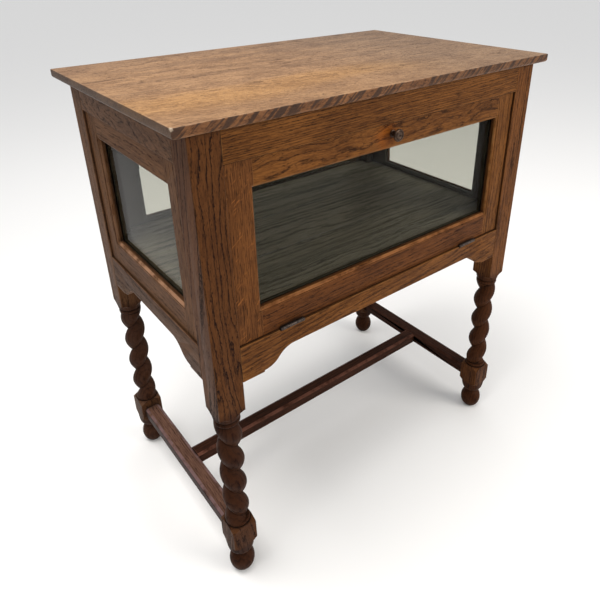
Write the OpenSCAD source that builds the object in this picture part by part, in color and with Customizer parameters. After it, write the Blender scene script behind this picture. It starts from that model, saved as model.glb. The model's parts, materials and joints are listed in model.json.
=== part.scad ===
// Glazed oak display case on rope-twist legs, with a drop-down glazed front.
// Millimetres, +Z up. Origin on the ground under the middle of the case, front towards -Y.

/* [Case] */
// Width over the corner posts
case_w = 714; // [580:1:900]
// Depth over the corner posts
case_d = 447; // [360:1:560]
// Height from the ground to the top surface
case_h = 857; // [700:1:1100]

/* [Top] */
// Thickness of the top boards
top_thick = 15; // [12:0.5:24]
// How far the top stands out past the posts at each end
top_over_end = 23; // [8:0.5:40]
// How far the top stands out past the posts at front and back
top_over_front = 12.5; // [6:0.5:30]
// Radius under the edge of the top
top_round = 5; // [2:0.5:8]
// Number of boards glued side by side to make the top
top_boards = 3; // [3:1:3]

/* [Posts and legs] */
// Side of the square posts
leg_w = 46; // [38:1:60]
// Ground to the square end of the post
post_end_z = 388; // [340:1:420]
// Ground to the top of the rope twist
twist_top_z = 362; // [310:1:368]
// Ground to the foot of the rope twist
twist_foot_z = 137; // [132:1:160]
// Height of one turn of the twist
twist_pitch = 55; // [40:1:80]
// How deep the rope twist lies inside the faces of the post
twist_in = 1.8; // [0.5:0.1:4]
// How far the rope stands off the leg's centre line
twist_off = 4.1; // [2:0.1:6]
// Ground to the bottom of the square block
block_low_z = 86; // [80:1:88]
// Ground to the top of the square block
block_high_z = 122; // [116:1:126]
// Radius of the neck over the foot
neck_r = 14.5; // [11:0.5:18]
// Height of the turned foot
foot_h = 47; // [40:1:48]
// Radius of the small flat under the foot
foot_flat_r = 9.5; // [6:0.5:14]

/* [Rails and aprons] */
// Height of the rails under the top
rail_h = 48; // [36:1:70]
// Thickness of the rails and aprons
rail_thick = 22; // [18:1:26]
// Ground to the top edge of the aprons
apron_top_z = 506; // [470:1:540]
// Depth of an apron at its ends
apron_end_h = 65; // [50:1:80]
// How much shallower an apron is along its middle
apron_rise = 30; // [16:1:36]
// Length of the deep flat at each end of an apron
apron_flat = 40; // [20:1:60]
// Height of the small step at the end of the flat
apron_step = 3; // [1:0.5:6]
// Length of the S curve
apron_curve = 58; // [40:1:90]

/* [Glazed frames] */
// How far the frames lie behind the faces of the posts
frame_recess = 4; // [1:0.5:8]
// Thickness of the frames
frame_thick = 20; // [17:0.5:22]
// Width of the stiles
stile_w = 43; // [32:0.5:60]
// Width of the top rails of the frames
frame_top_w = 44; // [32:0.5:60]
// Width of the bottom rails of the frames
frame_low_w = 49; // [36:0.5:70]
// Width of the rounded moulding around the glass
mould_w = 5.5; // [3:0.5:6]
// Step between the face and the moulding
mould_quirk = 0.8; // [0.4:0.1:1.5]
// Depth from the face of a frame to its glass
glass_depth = 11; // [9:0.5:12]
// Thickness of the glass
glass_thick = 4; // [3:0.5:5]
// Width of the bevel around the face of the glass
glass_bevel = 14; // [8:1:20]
// How far the rebate runs in behind the moulding
rebate_w = 7; // [6:0.5:10]
// Clearance around the fixed frames
frame_gap = 0.2; // [0.1:0.1:0.5]

/* [Drop front] */
// Clearance around the drop front
flap_gap = 1.5; // [1:0.1:2.5]
// Length of a hinge
hinge_l = 44; // [36:1:60]
// From a stile of the drop front to the nearer end of its hinge
hinge_in = 30; // [4:1:90]
// Thickness of a hinge leaf
leaf_t = 1.4; // [1:0.1:1.8]
// Width of a hinge leaf
leaf_w = 15; // [10:0.5:17]
// Radius of the hinge pin
pin_r = 1.5; // [1.2:0.1:1.8]
// Radius of a screw's shank
screw_r = 1.4; // [1:0.1:1.6]
// Radius of a screw's head
screw_head_r = 2.8; // [2:0.1:3]

/* [Knob and latch] */
// Middle of the case to the knob, towards the left
knob_x = 7; // [0:1:40]
// Radius of the knob
knob_r = 10.2; // [8:0.1:14]
// How far the knob stands out of the drop front
knob_out = 16; // [14:0.5:24]
// Thickness of the knob's disc at its edge
knob_disc = 4; // [3:0.5:8]
// Radius of the knob's shank
shank_r = 4.6; // [4:0.1:6]
// Radius of the spindle
spindle_r = 3; // [2:0.1:3.5]
// Length of the latch tongue past the spindle
tongue_l = 30; // [26:0.5:38]
// Width of the latch tongue
tongue_w = 11; // [9:0.5:14]
// Thickness of the latch tongue
tongue_t = 3; // [2:0.5:4]

/* [Stretchers] */
// Width of the stretchers
stretcher_w = 32; // [24:1:36]
// Thickness of the stretchers
stretcher_h = 23; // [16:1:28]
// Ground to the underside of the stretchers
stretcher_z = 89; // [88:0.5:94]
// Chamfer along the top edges of the stretchers
stretcher_chamfer = 6; // [2:0.5:8]

/* [Floor] */
// Ground to the top of the display floor
floor_top_z = 545; // [538:1:550]
// Thickness of the floor boards
floor_thick = 12; // [8:0.5:16]
// Side of the bearers under the floor
bearer_w = 18; // [12:1:24]

/* [Joinery] */
// Wood left between two tenons that meet in a post
tenon_wall = 3; // [2:0.5:8]
// Wood left past the tenons of the centre stretcher
centre_tenon_wall = 12; // [8:1:16]
// Thickness of the tenons in the posts
tenon_t = 10; // [7:0.5:11]
// Shoulder above and below a tenon
shoulder = 7; // [4:0.5:9]
// Length of the tenons in the frames
frame_tenon_l = 26; // [16:1:30]
// Thickness of the tenons in the frames
frame_tenon_t = 6; // [4:0.5:7]
// Clearance around a tenon in its mortise
tenon_gap = 0.15; // [0.1:0.05:0.3]
// Radial clearance of a running or screwed fit
fit_gap = 0.05; // [0.02:0.01:0.1]

/* [Hidden] */

// Keeps two cuts from sharing a face
eps = 0.01;
curve_fn = 64;
twist_fn = 20;
slices_per_turn = 12;

// Case levels and half widths
top_z = case_h - top_thick;
rail_z = top_z - rail_h;
half_w = case_w / 2;
half_d = case_d / 2;
inner_w = case_w - 2 * leg_w;
inner_d = case_d - 2 * leg_w;
leg_x = (case_w - leg_w) / 2;
leg_y = (case_d - leg_w) / 2;
apron_low_z = apron_top_z - apron_end_h;
// Faces of the rails, and where their tenons lie behind that face
tenon_in = (rail_thick - tenon_t) / 2;
tenon_l = leg_w - tenon_in - tenon_t - tenon_wall;

// Where each leg's rope starts at its foot, as an angle
phase_front_left = 170;
phase_front_right = 41;
phase_back_left = 237;
phase_back_right = -57;

// Turned details of a leg
foot_r = leg_w / 2;
twist_r = leg_w / 2 - twist_in - twist_off;
corner_r = leg_w / sqrt(2) + 1;
shoulder_r = leg_w / 2 + 0.5;
block_cone = 9;
collar_r = twist_r + twist_off + 0.3;
collar_h = 9;
bead_r = 3.4;
post_taper = 8;
cone_foot_z = block_low_z - 10;
cone_r = neck_r + 10.5;
neck_top_z = foot_h + 7;
twist_turns = (twist_top_z - twist_foot_z) / twist_pitch;
bury = 1;

// Stretchers: the end ones go into the posts, the centre one into the end ones
stretcher_shoulder = 5;
centre_tenon_l = stretcher_w - centre_tenon_wall;

// Drop front
flap_low_z = apron_top_z + flap_gap;
flap_high_z = rail_z - flap_gap;
frame_high_z = rail_z - frame_gap;
face_y = -case_d / 2 + frame_recess;
flap_back_y = face_y + frame_thick;

// Hinge: knuckle in front of the face of the drop front, level with the joint
knuckle_r = pin_r + fit_gap + leaf_t;
knuckle_gap = 0.3;
axis_y = face_y - knuckle_r - knuckle_gap;
axis_z = apron_top_z + flap_gap / 2;
knuckle_l = (hinge_l - 2 * knuckle_gap) / 3;
hinge_x = inner_w / 2 - flap_gap - stile_w - hinge_in - hinge_l / 2;
pin_head_r = pin_r + 0.9;
pin_head_t = 1;
hinge_screws = 3;
screw_l = 14;
screw_step = hinge_l / hinge_screws;
screw_y = face_y + leaf_w * 0.55;

// Latch: tongue turns on the spindle behind the drop front
knob_z = (flap_high_z + flap_high_z - frame_top_w + flap_gap + mould_w) / 2 + 1;
tongue_gap = 0.3;
nut_r = 5.5;
nut_t = 3;
spindle_end = 0.8;
keeper_w = 34;
keeper_h = 26;
keeper_y = -case_d / 2 + rail_thick;
keeper_t = 1.8;
keeper_gap = 0.5;
tongue_y = max(flap_back_y + tongue_gap, keeper_y + keeper_t + keeper_gap);
keeper_z = rail_z + 3;
keeper_screw_x = keeper_w / 2 - 5;
keeper_screw_l = 12;

// Floor between the frames, notched round the posts
floor_gap = 0.5;
floor_low_z = floor_top_z - floor_thick;
side_in = frame_recess + frame_thick;
floor_x = case_w / 2 - side_in - floor_gap;
floor_back = case_d / 2 - side_in - floor_gap;
floor_front = -case_d / 2 + side_in + 4;
floor_boards = 3;
board_gap = 0.2;
tongue_joint = 4;

// Glue blocks under the top
block_s = 18;
block_l = 60;
block_in = 155;
block_x = inner_w / 2 - block_in;

// Points along an arc of an ellipse, from angle a0 to a1
function arc(cx, cz, rx, rz, a0, a1, n) =
    [for (i = [0:n]) let (a = a0 + (a1 - a0) * i / n) [cx + rx * cos(a), cz + rz * sin(a)]];

// A box from its low and high corners
module span(low, high) {
    translate(low)
        cube([high[0] - low[0], high[1] - low[1], high[2] - low[2]]);
}

// Turns work drawn at the front, facing -Y, to face another side of the case
module facing(angle) {
    rotate([0, 0, angle])
        children();
}

// ---------------------------------------------------------------- top

// Section of the top's edge: square above, rounded below
module top_section(width) {
    r = top_round;
    translate([-width / 2, r])
        square([width, top_thick - r]);
    translate([-width / 2 + r, 0])
        square([width - 2 * r, top_thick]);
    for (side = [-1, 1])
        translate([side * (width / 2 - r), r])
            circle(r = r, $fn = curve_fn);
}

// One board of the top, between two places across its depth
module top_board(index) {
    length = case_w + 2 * top_over_end;
    depth = case_d + 2 * top_over_front;
    board = depth / top_boards;
    color("sienna")
        intersection() {
            translate([length / 2 + 1, 0, top_z])
                rotate([90, 0, -90])
                    linear_extrude(length + 2)
                        top_section(depth);
            translate([0, depth / 2 + 1, top_z])
                rotate([90, 0, 0])
                    linear_extrude(depth + 2)
                        top_section(length);
            span([-length, -depth / 2 + index * board, 0],
                 [length, -depth / 2 + (index + 1) * board, case_h + 1]);
        }
}

// ---------------------------------------------------------------- legs

// Half outline of the turned foot, neck, block and collar bead
module lower_turning() {
    low = asin(-sqrt(1 - pow(foot_flat_r / foot_r, 2)));
    high = acos(neck_r / foot_r);
    rz = foot_h / (sin(high) - sin(low));
    cz = -rz * sin(low);
    polygon(concat(
        [[0, 0]],
        arc(0, cz, foot_r, rz, low, high, 14),
        [[neck_r, neck_top_z], [neck_r + 1.5, neck_top_z]],
        [[cone_r, cone_foot_z]],
        [[corner_r, block_low_z], [corner_r, block_high_z]],
        [[shoulder_r, block_high_z + block_cone], [shoulder_r - 2, block_high_z + block_cone]],
        arc(collar_r - bead_r, twist_foot_z - bead_r, bead_r, bead_r, -90, 90, 8),
        [[0, twist_foot_z]]
    ));
}

// Half outline of the turned collar under the square post
module upper_turning() {
    groove = 1.3;
    polygon([
        [0, twist_top_z],
        [collar_r, twist_top_z],
        [collar_r, twist_top_z + collar_h],
        [collar_r - groove, twist_top_z + collar_h + groove],
        [collar_r - groove, twist_top_z + collar_h + 2 * groove],
        [shoulder_r - 0.8, twist_top_z + collar_h + 3 * groove],
        [shoulder_r, post_end_z - post_taper],
        [corner_r, post_end_z],
        [corner_r, top_z],
        [0, top_z]
    ]);
}

// Rope twist: a round rope carried round the centre line. hand is 1 or -1.
module twist(hand, phase) {
    height = twist_top_z - twist_foot_z + 2 * bury;
    turns = twist_turns + 2 * bury / twist_pitch;
    translate([0, 0, twist_foot_z - bury])
        rotate([0, 0, phase])
            linear_extrude(height, twist = -hand * 360 * turns,
                           slices = round(turns * slices_per_turn))
                translate([twist_off, 0])
                    circle(r = twist_r, $fn = twist_fn);
}

// A leg and its post as one timber, standing on the Z axis
module leg_timber(hand, phase) {
    intersection() {
        span([-leg_w / 2, -leg_w / 2, 0], [leg_w / 2, leg_w / 2, top_z]);
        union() {
            rotate_extrude($fn = curve_fn)
                lower_turning();
            rotate_extrude($fn = curve_fn)
                upper_turning();
        }
    }
    twist(hand, phase);
}

// Mortises of one corner, for the rails and aprons of both sides and the stretcher
module leg_mortises(sx, sy) {
    g = tenon_gap;
    x_in = leg_w / 2 - tenon_l - g;
    for (z = [[rail_z + shoulder, top_z - shoulder],
              [apron_low_z + shoulder, apron_top_z - shoulder]]) {
        // Along the front or back
        mirror([sx > 0 ? 0 : 1, 0, 0])
            mirror([0, sy > 0 ? 0 : 1, 0])
                span([-leg_w / 2 - eps, leg_w / 2 - tenon_in - tenon_t - g, z[0] - g],
                     [-leg_w / 2 + tenon_l + g, leg_w / 2 - tenon_in + g, z[1] + g]);
        // Along the end
        mirror([sx > 0 ? 0 : 1, 0, 0])
            mirror([0, sy > 0 ? 0 : 1, 0])
                span([leg_w / 2 - tenon_in - tenon_t - g, -leg_w / 2 - eps, z[0] - g],
                     [leg_w / 2 - tenon_in + g, -leg_w / 2 + tenon_l + g, z[1] + g]);
    }
    // Stretcher along the end
    mirror([0, sy > 0 ? 0 : 1, 0])
        span([-tenon_t / 2 - g, -leg_w / 2 - eps, stretcher_z + stretcher_shoulder - g],
             [tenon_t / 2 + g, -leg_w / 2 + tenon_l + g,
              stretcher_z + stretcher_h - stretcher_shoulder + g]);
}

// A leg at one corner of the case
module leg(sx, sy, hand, phase) {
    color("saddlebrown")
        translate([sx * leg_x, sy * leg_y, 0])
            difference() {
                leg_timber(hand, phase);
                leg_mortises(sx, sy);
            }
}

// ---------------------------------------------------------------- rails and aprons

// Tenons at both ends of a rail that lies along X behind the front face
module end_tenons(length, half, z_low, z_high) {
    for (side = [-1, 1])
        translate([side * length / 2, 0, 0])
            span([side > 0 ? -bury : -tenon_l, -half + tenon_in, z_low + shoulder],
                 [side > 0 ? tenon_l : bury, -half + tenon_in + tenon_t, z_high - shoulder]);
}

// A rail under the top. length is between the posts, half is out to their face.
module top_rail(length, half) {
    span([-length / 2, -half, rail_z], [length / 2, -half + rail_thick, top_z]);
    end_tenons(length, half, rail_z, top_z);
}

// Space under an apron's middle: a step, then an S curve made of two arcs
module apron_cut(length) {
    start = length / 2 - apron_flat;
    half_run = apron_curve / 2;
    half_rise = (apron_rise - apron_step) / 2;
    r = (pow(half_run, 2) + pow(half_rise, 2)) / (2 * half_rise);
    flat_end = start - apron_curve;
    deep_z = apron_low_z + apron_step;
    high_z = apron_low_z + apron_rise;
    translate([-flat_end, apron_low_z - 1])
        square([2 * flat_end, apron_rise + 1]);
    translate([-start, apron_low_z - 1])
        square([2 * start, apron_step + 1]);
    for (side = [0, 1])
        mirror([side, 0]) {
            // Hollow arc next to the middle
            intersection() {
                translate([flat_end - eps, deep_z + half_rise - eps])
                    square([half_run + eps, half_rise + eps]);
                translate([flat_end, high_z - r])
                    circle(r = r, $fn = curve_fn * 2);
            }
            translate([flat_end - eps, deep_z - eps])
                square([half_run + eps, half_rise + eps]);
            // Round arc next to the step
            difference() {
                translate([flat_end + half_run - eps, deep_z - eps])
                    square([half_run + eps, half_rise + eps]);
                translate([start, deep_z + r])
                    circle(r = r, $fn = curve_fn * 2);
            }
        }
}

// An apron with its scalloped lower edge
module apron_board(length, half) {
    difference() {
        span([-length / 2, -half, apron_low_z], [length / 2, -half + rail_thick, apron_top_z]);
        translate([0, -half + rail_thick + 1, 0])
            rotate([90, 0, 0])
                linear_extrude(rail_thick + 2)
                    apron_cut(length);
    }
    end_tenons(length, half, apron_low_z, apron_top_z);
}

// ---------------------------------------------------------------- stretchers

// Section of a stretcher, with both top edges chamfered
module stretcher_section() {
    w = stretcher_w / 2;
    c = stretcher_chamfer;
    polygon([[-w, 0], [w, 0], [w, stretcher_h - c * 0.6], [w - c, stretcher_h],
             [c - w, stretcher_h], [-w, stretcher_h - c * 0.6]]);
}

// A stretcher along X with a tenon at each end
module stretcher_bar(length, tenon) {
    translate([-length / 2, 0, stretcher_z])
        rotate([90, 0, 90])
            linear_extrude(length)
                stretcher_section();
    for (side = [-1, 1])
        translate([side * length / 2, 0, 0])
            span([side > 0 ? -bury : -tenon, -tenon_t / 2, stretcher_z + stretcher_shoulder],
                 [side > 0 ? tenon : bury, tenon_t / 2,
                  stretcher_z + stretcher_h - stretcher_shoulder]);
}

// An end stretcher, mortised for the centre one. side is -1 on the left.
module end_stretcher(side) {
    color("saddlebrown")
        translate([side * leg_x, 0, 0])
            difference() {
                rotate([0, 0, 90])
                    stretcher_bar(inner_d, tenon_l);
                mirror([side > 0 ? 0 : 1, 0, 0])
                    span([-stretcher_w / 2 - eps, -tenon_t / 2 - tenon_gap,
                          stretcher_z + stretcher_shoulder - tenon_gap],
                         [-stretcher_w / 2 + centre_tenon_l + tenon_gap, tenon_t / 2 + tenon_gap,
                          stretcher_z + stretcher_h - stretcher_shoulder + tenon_gap]);
            }
}

// ---------------------------------------------------------------- glazed frames

// How far the moulding's cut reaches past the sight line, as a section through one edge.
// The first axis runs from the middle of the opening, the second into the frame.
module mould_section(half) {
    translate([-1, -1])
        square([half + 1, frame_thick + 2]);
    difference() {
        translate([half - eps, -1])
            square([mould_w + eps, 1 + mould_quirk + mould_w]);
        translate([half + mould_w, mould_quirk + mould_w])
            circle(r = mould_w, $fn = curve_fn);
    }
}

// Everything cut out of a frame: the sight opening with its mitred moulding, and the rebate.
// a is half the sight width, and the opening runs from z0 to z1.
module frame_cut(a, z0, z1) {
    mid = (z0 + z1) / 2;
    b = (z1 - z0) / 2;
    far = a + b + 100;
    intersection() {
        for (side = [0, 1])
            mirror([side, 0, 0])
                translate([0, 0, mid - far])
                    linear_extrude(2 * far)
                        mould_section(a);
        for (side = [0, 1])
            translate([0, 0, mid])
                mirror([0, 0, side])
                    translate([-far, 0, 0])
                        rotate([90, 0, 90])
                            linear_extrude(2 * far)
                                mould_section_upright(b);
    }
    span([-a - rebate_w, glass_depth, z0 - rebate_w], [a + rebate_w, frame_thick + 1, z1 + rebate_w]);
}

// The same section turned so that its first axis is the depth
module mould_section_upright(half) {
    mirror([1, -1])
        mould_section(half);
}

// Sight opening of a frame w wide from low to high: [half width, low, high]
function sight(w, low, high, top_w) = [w / 2 - stile_w, low + frame_low_w, high - top_w];

// Where a frame rail's tenon lies, as [low z, high z]
function frame_tenon_z(z_low, z_high, glass_below) = glass_below
    ? [z_low + rebate_w + 3, z_high - shoulder]
    : [z_low + shoulder, z_high - rebate_w - 3];
frame_tenon_y = glass_depth - frame_tenon_t / 2 - 1;

// Both rails' tenons of a frame, grown by gap to cut the mortises
module frame_tenons(s, low, high, gap) {
    for (zz = [frame_tenon_z(low, s[1], false), frame_tenon_z(s[2], high, true)])
        for (side = [0, 1])
            mirror([side, 0, 0])
                span([s[0] - bury, frame_tenon_y - gap, zz[0] - gap],
                     [s[0] + frame_tenon_l + gap, frame_tenon_y + frame_tenon_t + gap, zz[1] + gap]);
}

// A stile: side is -1 for the one on the left as seen from outside
module frame_stile(w, low, high, top_w, side) {
    s = sight(w, low, high, top_w);
    difference() {
        mirror([side > 0 ? 0 : 1, 0, 0])
            span([s[0], 0, low], [w / 2, frame_thick, high]);
        frame_cut(s[0], s[1], s[2]);
        frame_tenons(s, low, high, tenon_gap);
    }
}

// The top rail or the bottom rail of a frame
module frame_rail(w, low, high, top_w, upper) {
    s = sight(w, low, high, top_w);
    difference() {
        span([-s[0], 0, upper ? s[2] : low], [s[0], frame_thick, upper ? high : s[1]]);
        frame_cut(s[0], s[1], s[2]);
    }
    intersection() {
        frame_tenons(s, low, high, 0);
        span([-w, -1, upper ? s[2] : low], [w, frame_thick, upper ? high : s[1]]);
    }
}

// The glass, with a bevel around its outer face
module frame_pane(w, low, high, top_w) {
    s = sight(w, low, high, top_w);
    lip = rebate_w - 0.5;
    x = s[0] + lip;
    z0 = s[1] - lip;
    z1 = s[2] + lip;
    drop = glass_thick * 0.35;
    run = glass_bevel + lip;
    difference() {
        span([-x, glass_depth, z0], [x, glass_depth + glass_thick, z1]);
        // Each edge loses a long thin wedge from the face
        for (side = [0, 1])
            mirror([side, 0, 0])
                translate([0, 0, z0 - 1])
                    linear_extrude(z1 - z0 + 2)
                        polygon([[x + 1, glass_depth - 1], [x + 1, glass_depth + drop],
                                 [x, glass_depth + drop], [x - run, glass_depth],
                                 [x - run, glass_depth - 1]]);
        for (edge = [[z0, 1], [z1, -1]])
            translate([-x - 1, 0, edge[0]])
                mirror([0, 0, edge[1] > 0 ? 0 : 1])
                    rotate([90, 0, 90])
                        linear_extrude(2 * x + 2)
                            polygon([[glass_depth - 1, -1], [glass_depth + drop, -1],
                                     [glass_depth + drop, 0], [glass_depth, run],
                                     [glass_depth - 1, run]]);
    }
}

// Four beads that hold the glass in from the inside
module frame_beads(w, low, high, top_w) {
    s = sight(w, low, high, top_w);
    g = 0.1;
    y0 = glass_depth + glass_thick + g;
    x_out = s[0] + rebate_w - g;
    z_out0 = s[1] - rebate_w + g;
    z_out1 = s[2] + rebate_w - g;
    for (side = [0, 1])
        mirror([side, 0, 0])
            span([s[0], y0, z_out0], [x_out, frame_thick, z_out1]);
    for (z = [[z_out0, s[1]], [s[2], z_out1]])
        span([-s[0] + g, y0, z[0]], [s[0] - g, frame_thick, z[1]]);
}

// ---------------------------------------------------------------- fixed frames

// Places a frame drawn with its outer face at Y = 0 behind the posts' faces
module panel(angle, half) {
    facing(angle)
        translate([0, -half + frame_recess, 0])
            children();
}

module fixed_stile(angle, half, between, side) {
    color("saddlebrown")
        panel(angle, half)
            frame_stile(between - 2 * frame_gap, apron_top_z, frame_high_z, frame_top_w, side);
}

module fixed_rail(angle, half, between, upper) {
    color("saddlebrown")
        panel(angle, half)
            frame_rail(between - 2 * frame_gap, apron_top_z, frame_high_z, frame_top_w, upper);
}

module fixed_pane(angle, half, between) {
    color("lightgrey", 0.4)
        panel(angle, half)
            frame_pane(between - 2 * frame_gap, apron_top_z, frame_high_z, frame_top_w);
}

module fixed_beads(angle, half, between) {
    color("saddlebrown")
        panel(angle, half)
            frame_beads(between - 2 * frame_gap, apron_top_z, frame_high_z, frame_top_w);
}

// ---------------------------------------------------------------- drop front

flap_w = inner_w - 2 * flap_gap;
flap_top_w = frame_top_w - flap_gap;

module flap_place() {
    translate([0, face_y, 0])
        children();
}

// Recess for a hinge leaf in an edge, level z, cut up or down
module leaf_recess(z, up) {
    for (side = [-1, 1])
        translate([side * hinge_x, 0, 0])
            span([-hinge_l / 2 - fit_gap, face_y - 10, up > 0 ? z - 1 : z - leaf_t],
                 [hinge_l / 2 + fit_gap, face_y + leaf_w + fit_gap, up > 0 ? z + leaf_t : z + 1]);
}

// Pocket in the apron's front edge for the knuckles
module knuckle_pocket() {
    for (side = [-1, 1])
        translate([side * hinge_x, 0, 0])
            span([-hinge_l / 2 - 2, -case_d, axis_z - knuckle_r - knuckle_gap],
                 [hinge_l / 2 + 2, face_y, apron_top_z + 1]);
}

// Pilot holes for the hinge screws, up into the drop front or down into the apron
module hinge_pilots(z, up) {
    for (side = [-1, 1])
        for (i = [0:hinge_screws - 1])
            translate([side * hinge_x + (i - (hinge_screws - 1) / 2) * screw_step, screw_y, z])
                mirror([0, 0, up > 0 ? 0 : 1])
                    translate([0, 0, -1])
                        cylinder(r = screw_r + fit_gap, h = screw_l + 2, $fn = 32);
}

module flap_bottom_rail() {
    color("chocolate")
        difference() {
            flap_place()
                frame_rail(flap_w, flap_low_z, flap_high_z, flap_top_w, false);
            leaf_recess(flap_low_z, 1);
            hinge_pilots(flap_low_z, 1);
        }
}

module flap_top_rail() {
    color("chocolate")
        difference() {
            flap_place()
                frame_rail(flap_w, flap_low_z, flap_high_z, flap_top_w, true);
            translate([-knob_x, face_y - 1, knob_z])
                rotate([-90, 0, 0])
                    cylinder(r = spindle_r + fit_gap, h = frame_thick + 2, $fn = 48);
        }
}

module apron_front() {
    color("chocolate")
        difference() {
            apron_board(inner_w, case_d / 2);
            knuckle_pocket();
            leaf_recess(apron_top_z, -1);
            hinge_pilots(apron_top_z, -1);
        }
}

// ---------------------------------------------------------------- hinges

// A leaf with its knuckles, before its holes. flap is true for the moving leaf.
module leaf_body(flap) {
    z0 = flap ? flap_low_z : apron_top_z - leaf_t;
    first = -hinge_l / 2;
    ranges = flap
        ? [[first + knuckle_l + knuckle_gap, first + 2 * knuckle_l + knuckle_gap]]
        : [[first, first + knuckle_l], [-first - knuckle_l, -first]];
    span([first, face_y + knuckle_gap, z0], [-first, face_y + leaf_w, z0 + leaf_t]);
    for (r = ranges) {
        span([r[0], axis_y, z0], [r[1], face_y + knuckle_gap + bury, z0 + leaf_t]);
        translate([r[0], axis_y, axis_z])
            rotate([0, 90, 0])
                cylinder(r = knuckle_r, h = r[1] - r[0], $fn = 48);
    }
}

// A finished leaf: bored for the pin, drilled and countersunk for the screws
module hinge_leaf(side, flap) {
    z_face = flap ? flap_low_z : apron_top_z;
    color("dimgray")
        translate([side * hinge_x, 0, 0])
            difference() {
                leaf_body(flap);
                translate([-hinge_l / 2 - 1, axis_y, axis_z])
                    rotate([0, 90, 0])
                        cylinder(r = pin_r + fit_gap, h = hinge_l + 2, $fn = 48);
                for (i = [0:hinge_screws - 1])
                    translate([(i - (hinge_screws - 1) / 2) * screw_step, screw_y, z_face])
                        mirror([0, 0, flap ? 0 : 1]) {
                            translate([0, 0, -1])
                                cylinder(r = screw_r + fit_gap, h = leaf_t + 2, $fn = 32);
                            translate([0, 0, -eps])
                                cylinder(r1 = screw_head_r + fit_gap, r2 = screw_r + fit_gap,
                                         h = leaf_t + eps, $fn = 32);
                        }
            }
}

// A countersunk screw, pointing up from its head at the origin
module screw(length) {
    cylinder(r1 = screw_head_r, r2 = screw_r, h = leaf_t, $fn = 32);
    cylinder(r = screw_r, h = length - 3, $fn = 32);
    translate([0, 0, length - 3])
        cylinder(r1 = screw_r, r2 = 0.3, h = 3, $fn = 32);
}

module hinge_screw_set(z, flap) {
    color("gray")
        for (side = [-1, 1])
            for (i = [0:hinge_screws - 1])
                translate([side * hinge_x + (i - (hinge_screws - 1) / 2) * screw_step, screw_y, z])
                    mirror([0, 0, flap ? 0 : 1])
                        screw(screw_l);
}

module hinge_pins() {
    color("gray")
        for (side = [-1, 1])
            translate([side * hinge_x, axis_y, axis_z])
                rotate([0, 90, 0]) {
                    translate([0, 0, -hinge_l / 2 - fit_gap])
                        cylinder(r = pin_r, h = hinge_l + 2 * fit_gap, $fn = 48);
                    for (end = [0, 1])
                        mirror([0, 0, end])
                            translate([0, 0, hinge_l / 2 + fit_gap])
                                cylinder(r1 = pin_head_r, r2 = pin_head_r - 0.6,
                                         h = pin_head_t, $fn = 48);
                }
}

// ---------------------------------------------------------------- knob and latch

// Half outline of the knob: spindle, shank and ringed disc. Z runs out of the case.
module knob_turning() {
    back = -(tongue_y - face_y + tongue_t + nut_t + spindle_end);
    disc = knob_out - knob_disc;
    ring = knob_r * 0.62;
    dish = 0.9;
    polygon([
        [0, back], [spindle_r, back], [spindle_r, 0.2], [shank_r, 0.2],
        [shank_r - 0.8, disc * 0.5], [shank_r, disc - 2.5],
        [knob_r - 1.2, disc - 0.4], [knob_r, disc + 1], [knob_r, knob_out - 1.4],
        [knob_r - 1, knob_out - 0.4], [ring + 0.8, knob_out - 0.2],
        [ring, knob_out - dish], [ring - 1.2, knob_out - dish],
        [ring - 2, knob_out - 0.1], [2.2, knob_out], [1, knob_out - dish], [0, knob_out - dish]
    ]);
}

// Turns work drawn along +Z so that it comes out of the front at the knob
module knob_place() {
    translate([-knob_x, face_y, knob_z])
        rotate([90, 0, 0])
            children();
}

module knob() {
    color("darkslategray")
        knob_place()
            rotate_extrude($fn = curve_fn)
                knob_turning();
}

// The tongue lies level at rest and turns up behind the rail to latch
module latch_tongue() {
    color("dimgray")
        translate([-knob_x, tongue_y, knob_z])
            rotate([-90, 0, 0])
                difference() {
                    linear_extrude(tongue_t)
                        union() {
                            circle(r = tongue_w / 2, $fn = 48);
                            translate([0, -tongue_w / 2])
                                square([tongue_l - tongue_w / 2, tongue_w]);
                            translate([tongue_l - tongue_w / 2, 0])
                                circle(r = tongue_w / 2, $fn = 48);
                        }
                    translate([0, 0, -1])
                        cylinder(r = spindle_r + fit_gap, h = tongue_t + 2, $fn = 48);
                }
}

module latch_nut() {
    color("gray")
        translate([-knob_x, tongue_y + tongue_t, knob_z])
            rotate([-90, 0, 0])
                difference() {
                    cylinder(r = nut_r, h = nut_t, $fn = 6);
                    translate([0, 0, -1])
                        cylinder(r = spindle_r + fit_gap, h = nut_t + 2, $fn = 48);
                }
}

// Places something at each of the keeper's two screws, pointing into the rail
module at_keeper_screws() {
    for (side = [-1, 1])
        translate([-knob_x + side * keeper_screw_x, keeper_y + keeper_t,
                   keeper_z + keeper_h / 2])
            rotate([90, 0, 0])
                children();
}

module latch_keeper() {
    color("dimgray")
        difference() {
            span([-knob_x - keeper_w / 2, keeper_y, keeper_z],
                 [-knob_x + keeper_w / 2, keeper_y + keeper_t, keeper_z + keeper_h]);
            at_keeper_screws() {
                translate([0, 0, -eps])
                    cylinder(r1 = screw_head_r + fit_gap, r2 = screw_r + fit_gap,
                             h = leaf_t + eps, $fn = 32);
                cylinder(r = screw_r + fit_gap, h = keeper_t + 1, $fn = 32);
            }
        }
}

module keeper_screws() {
    color("gray")
        at_keeper_screws()
            screw(keeper_screw_l);
}

module top_rail_front() {
    color("saddlebrown")
        difference() {
            top_rail(inner_w, case_d / 2);
            at_keeper_screws()
                cylinder(r = screw_r + fit_gap, h = keeper_screw_l + 1, $fn = 32);
        }
}

// ---------------------------------------------------------------- floor

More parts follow.
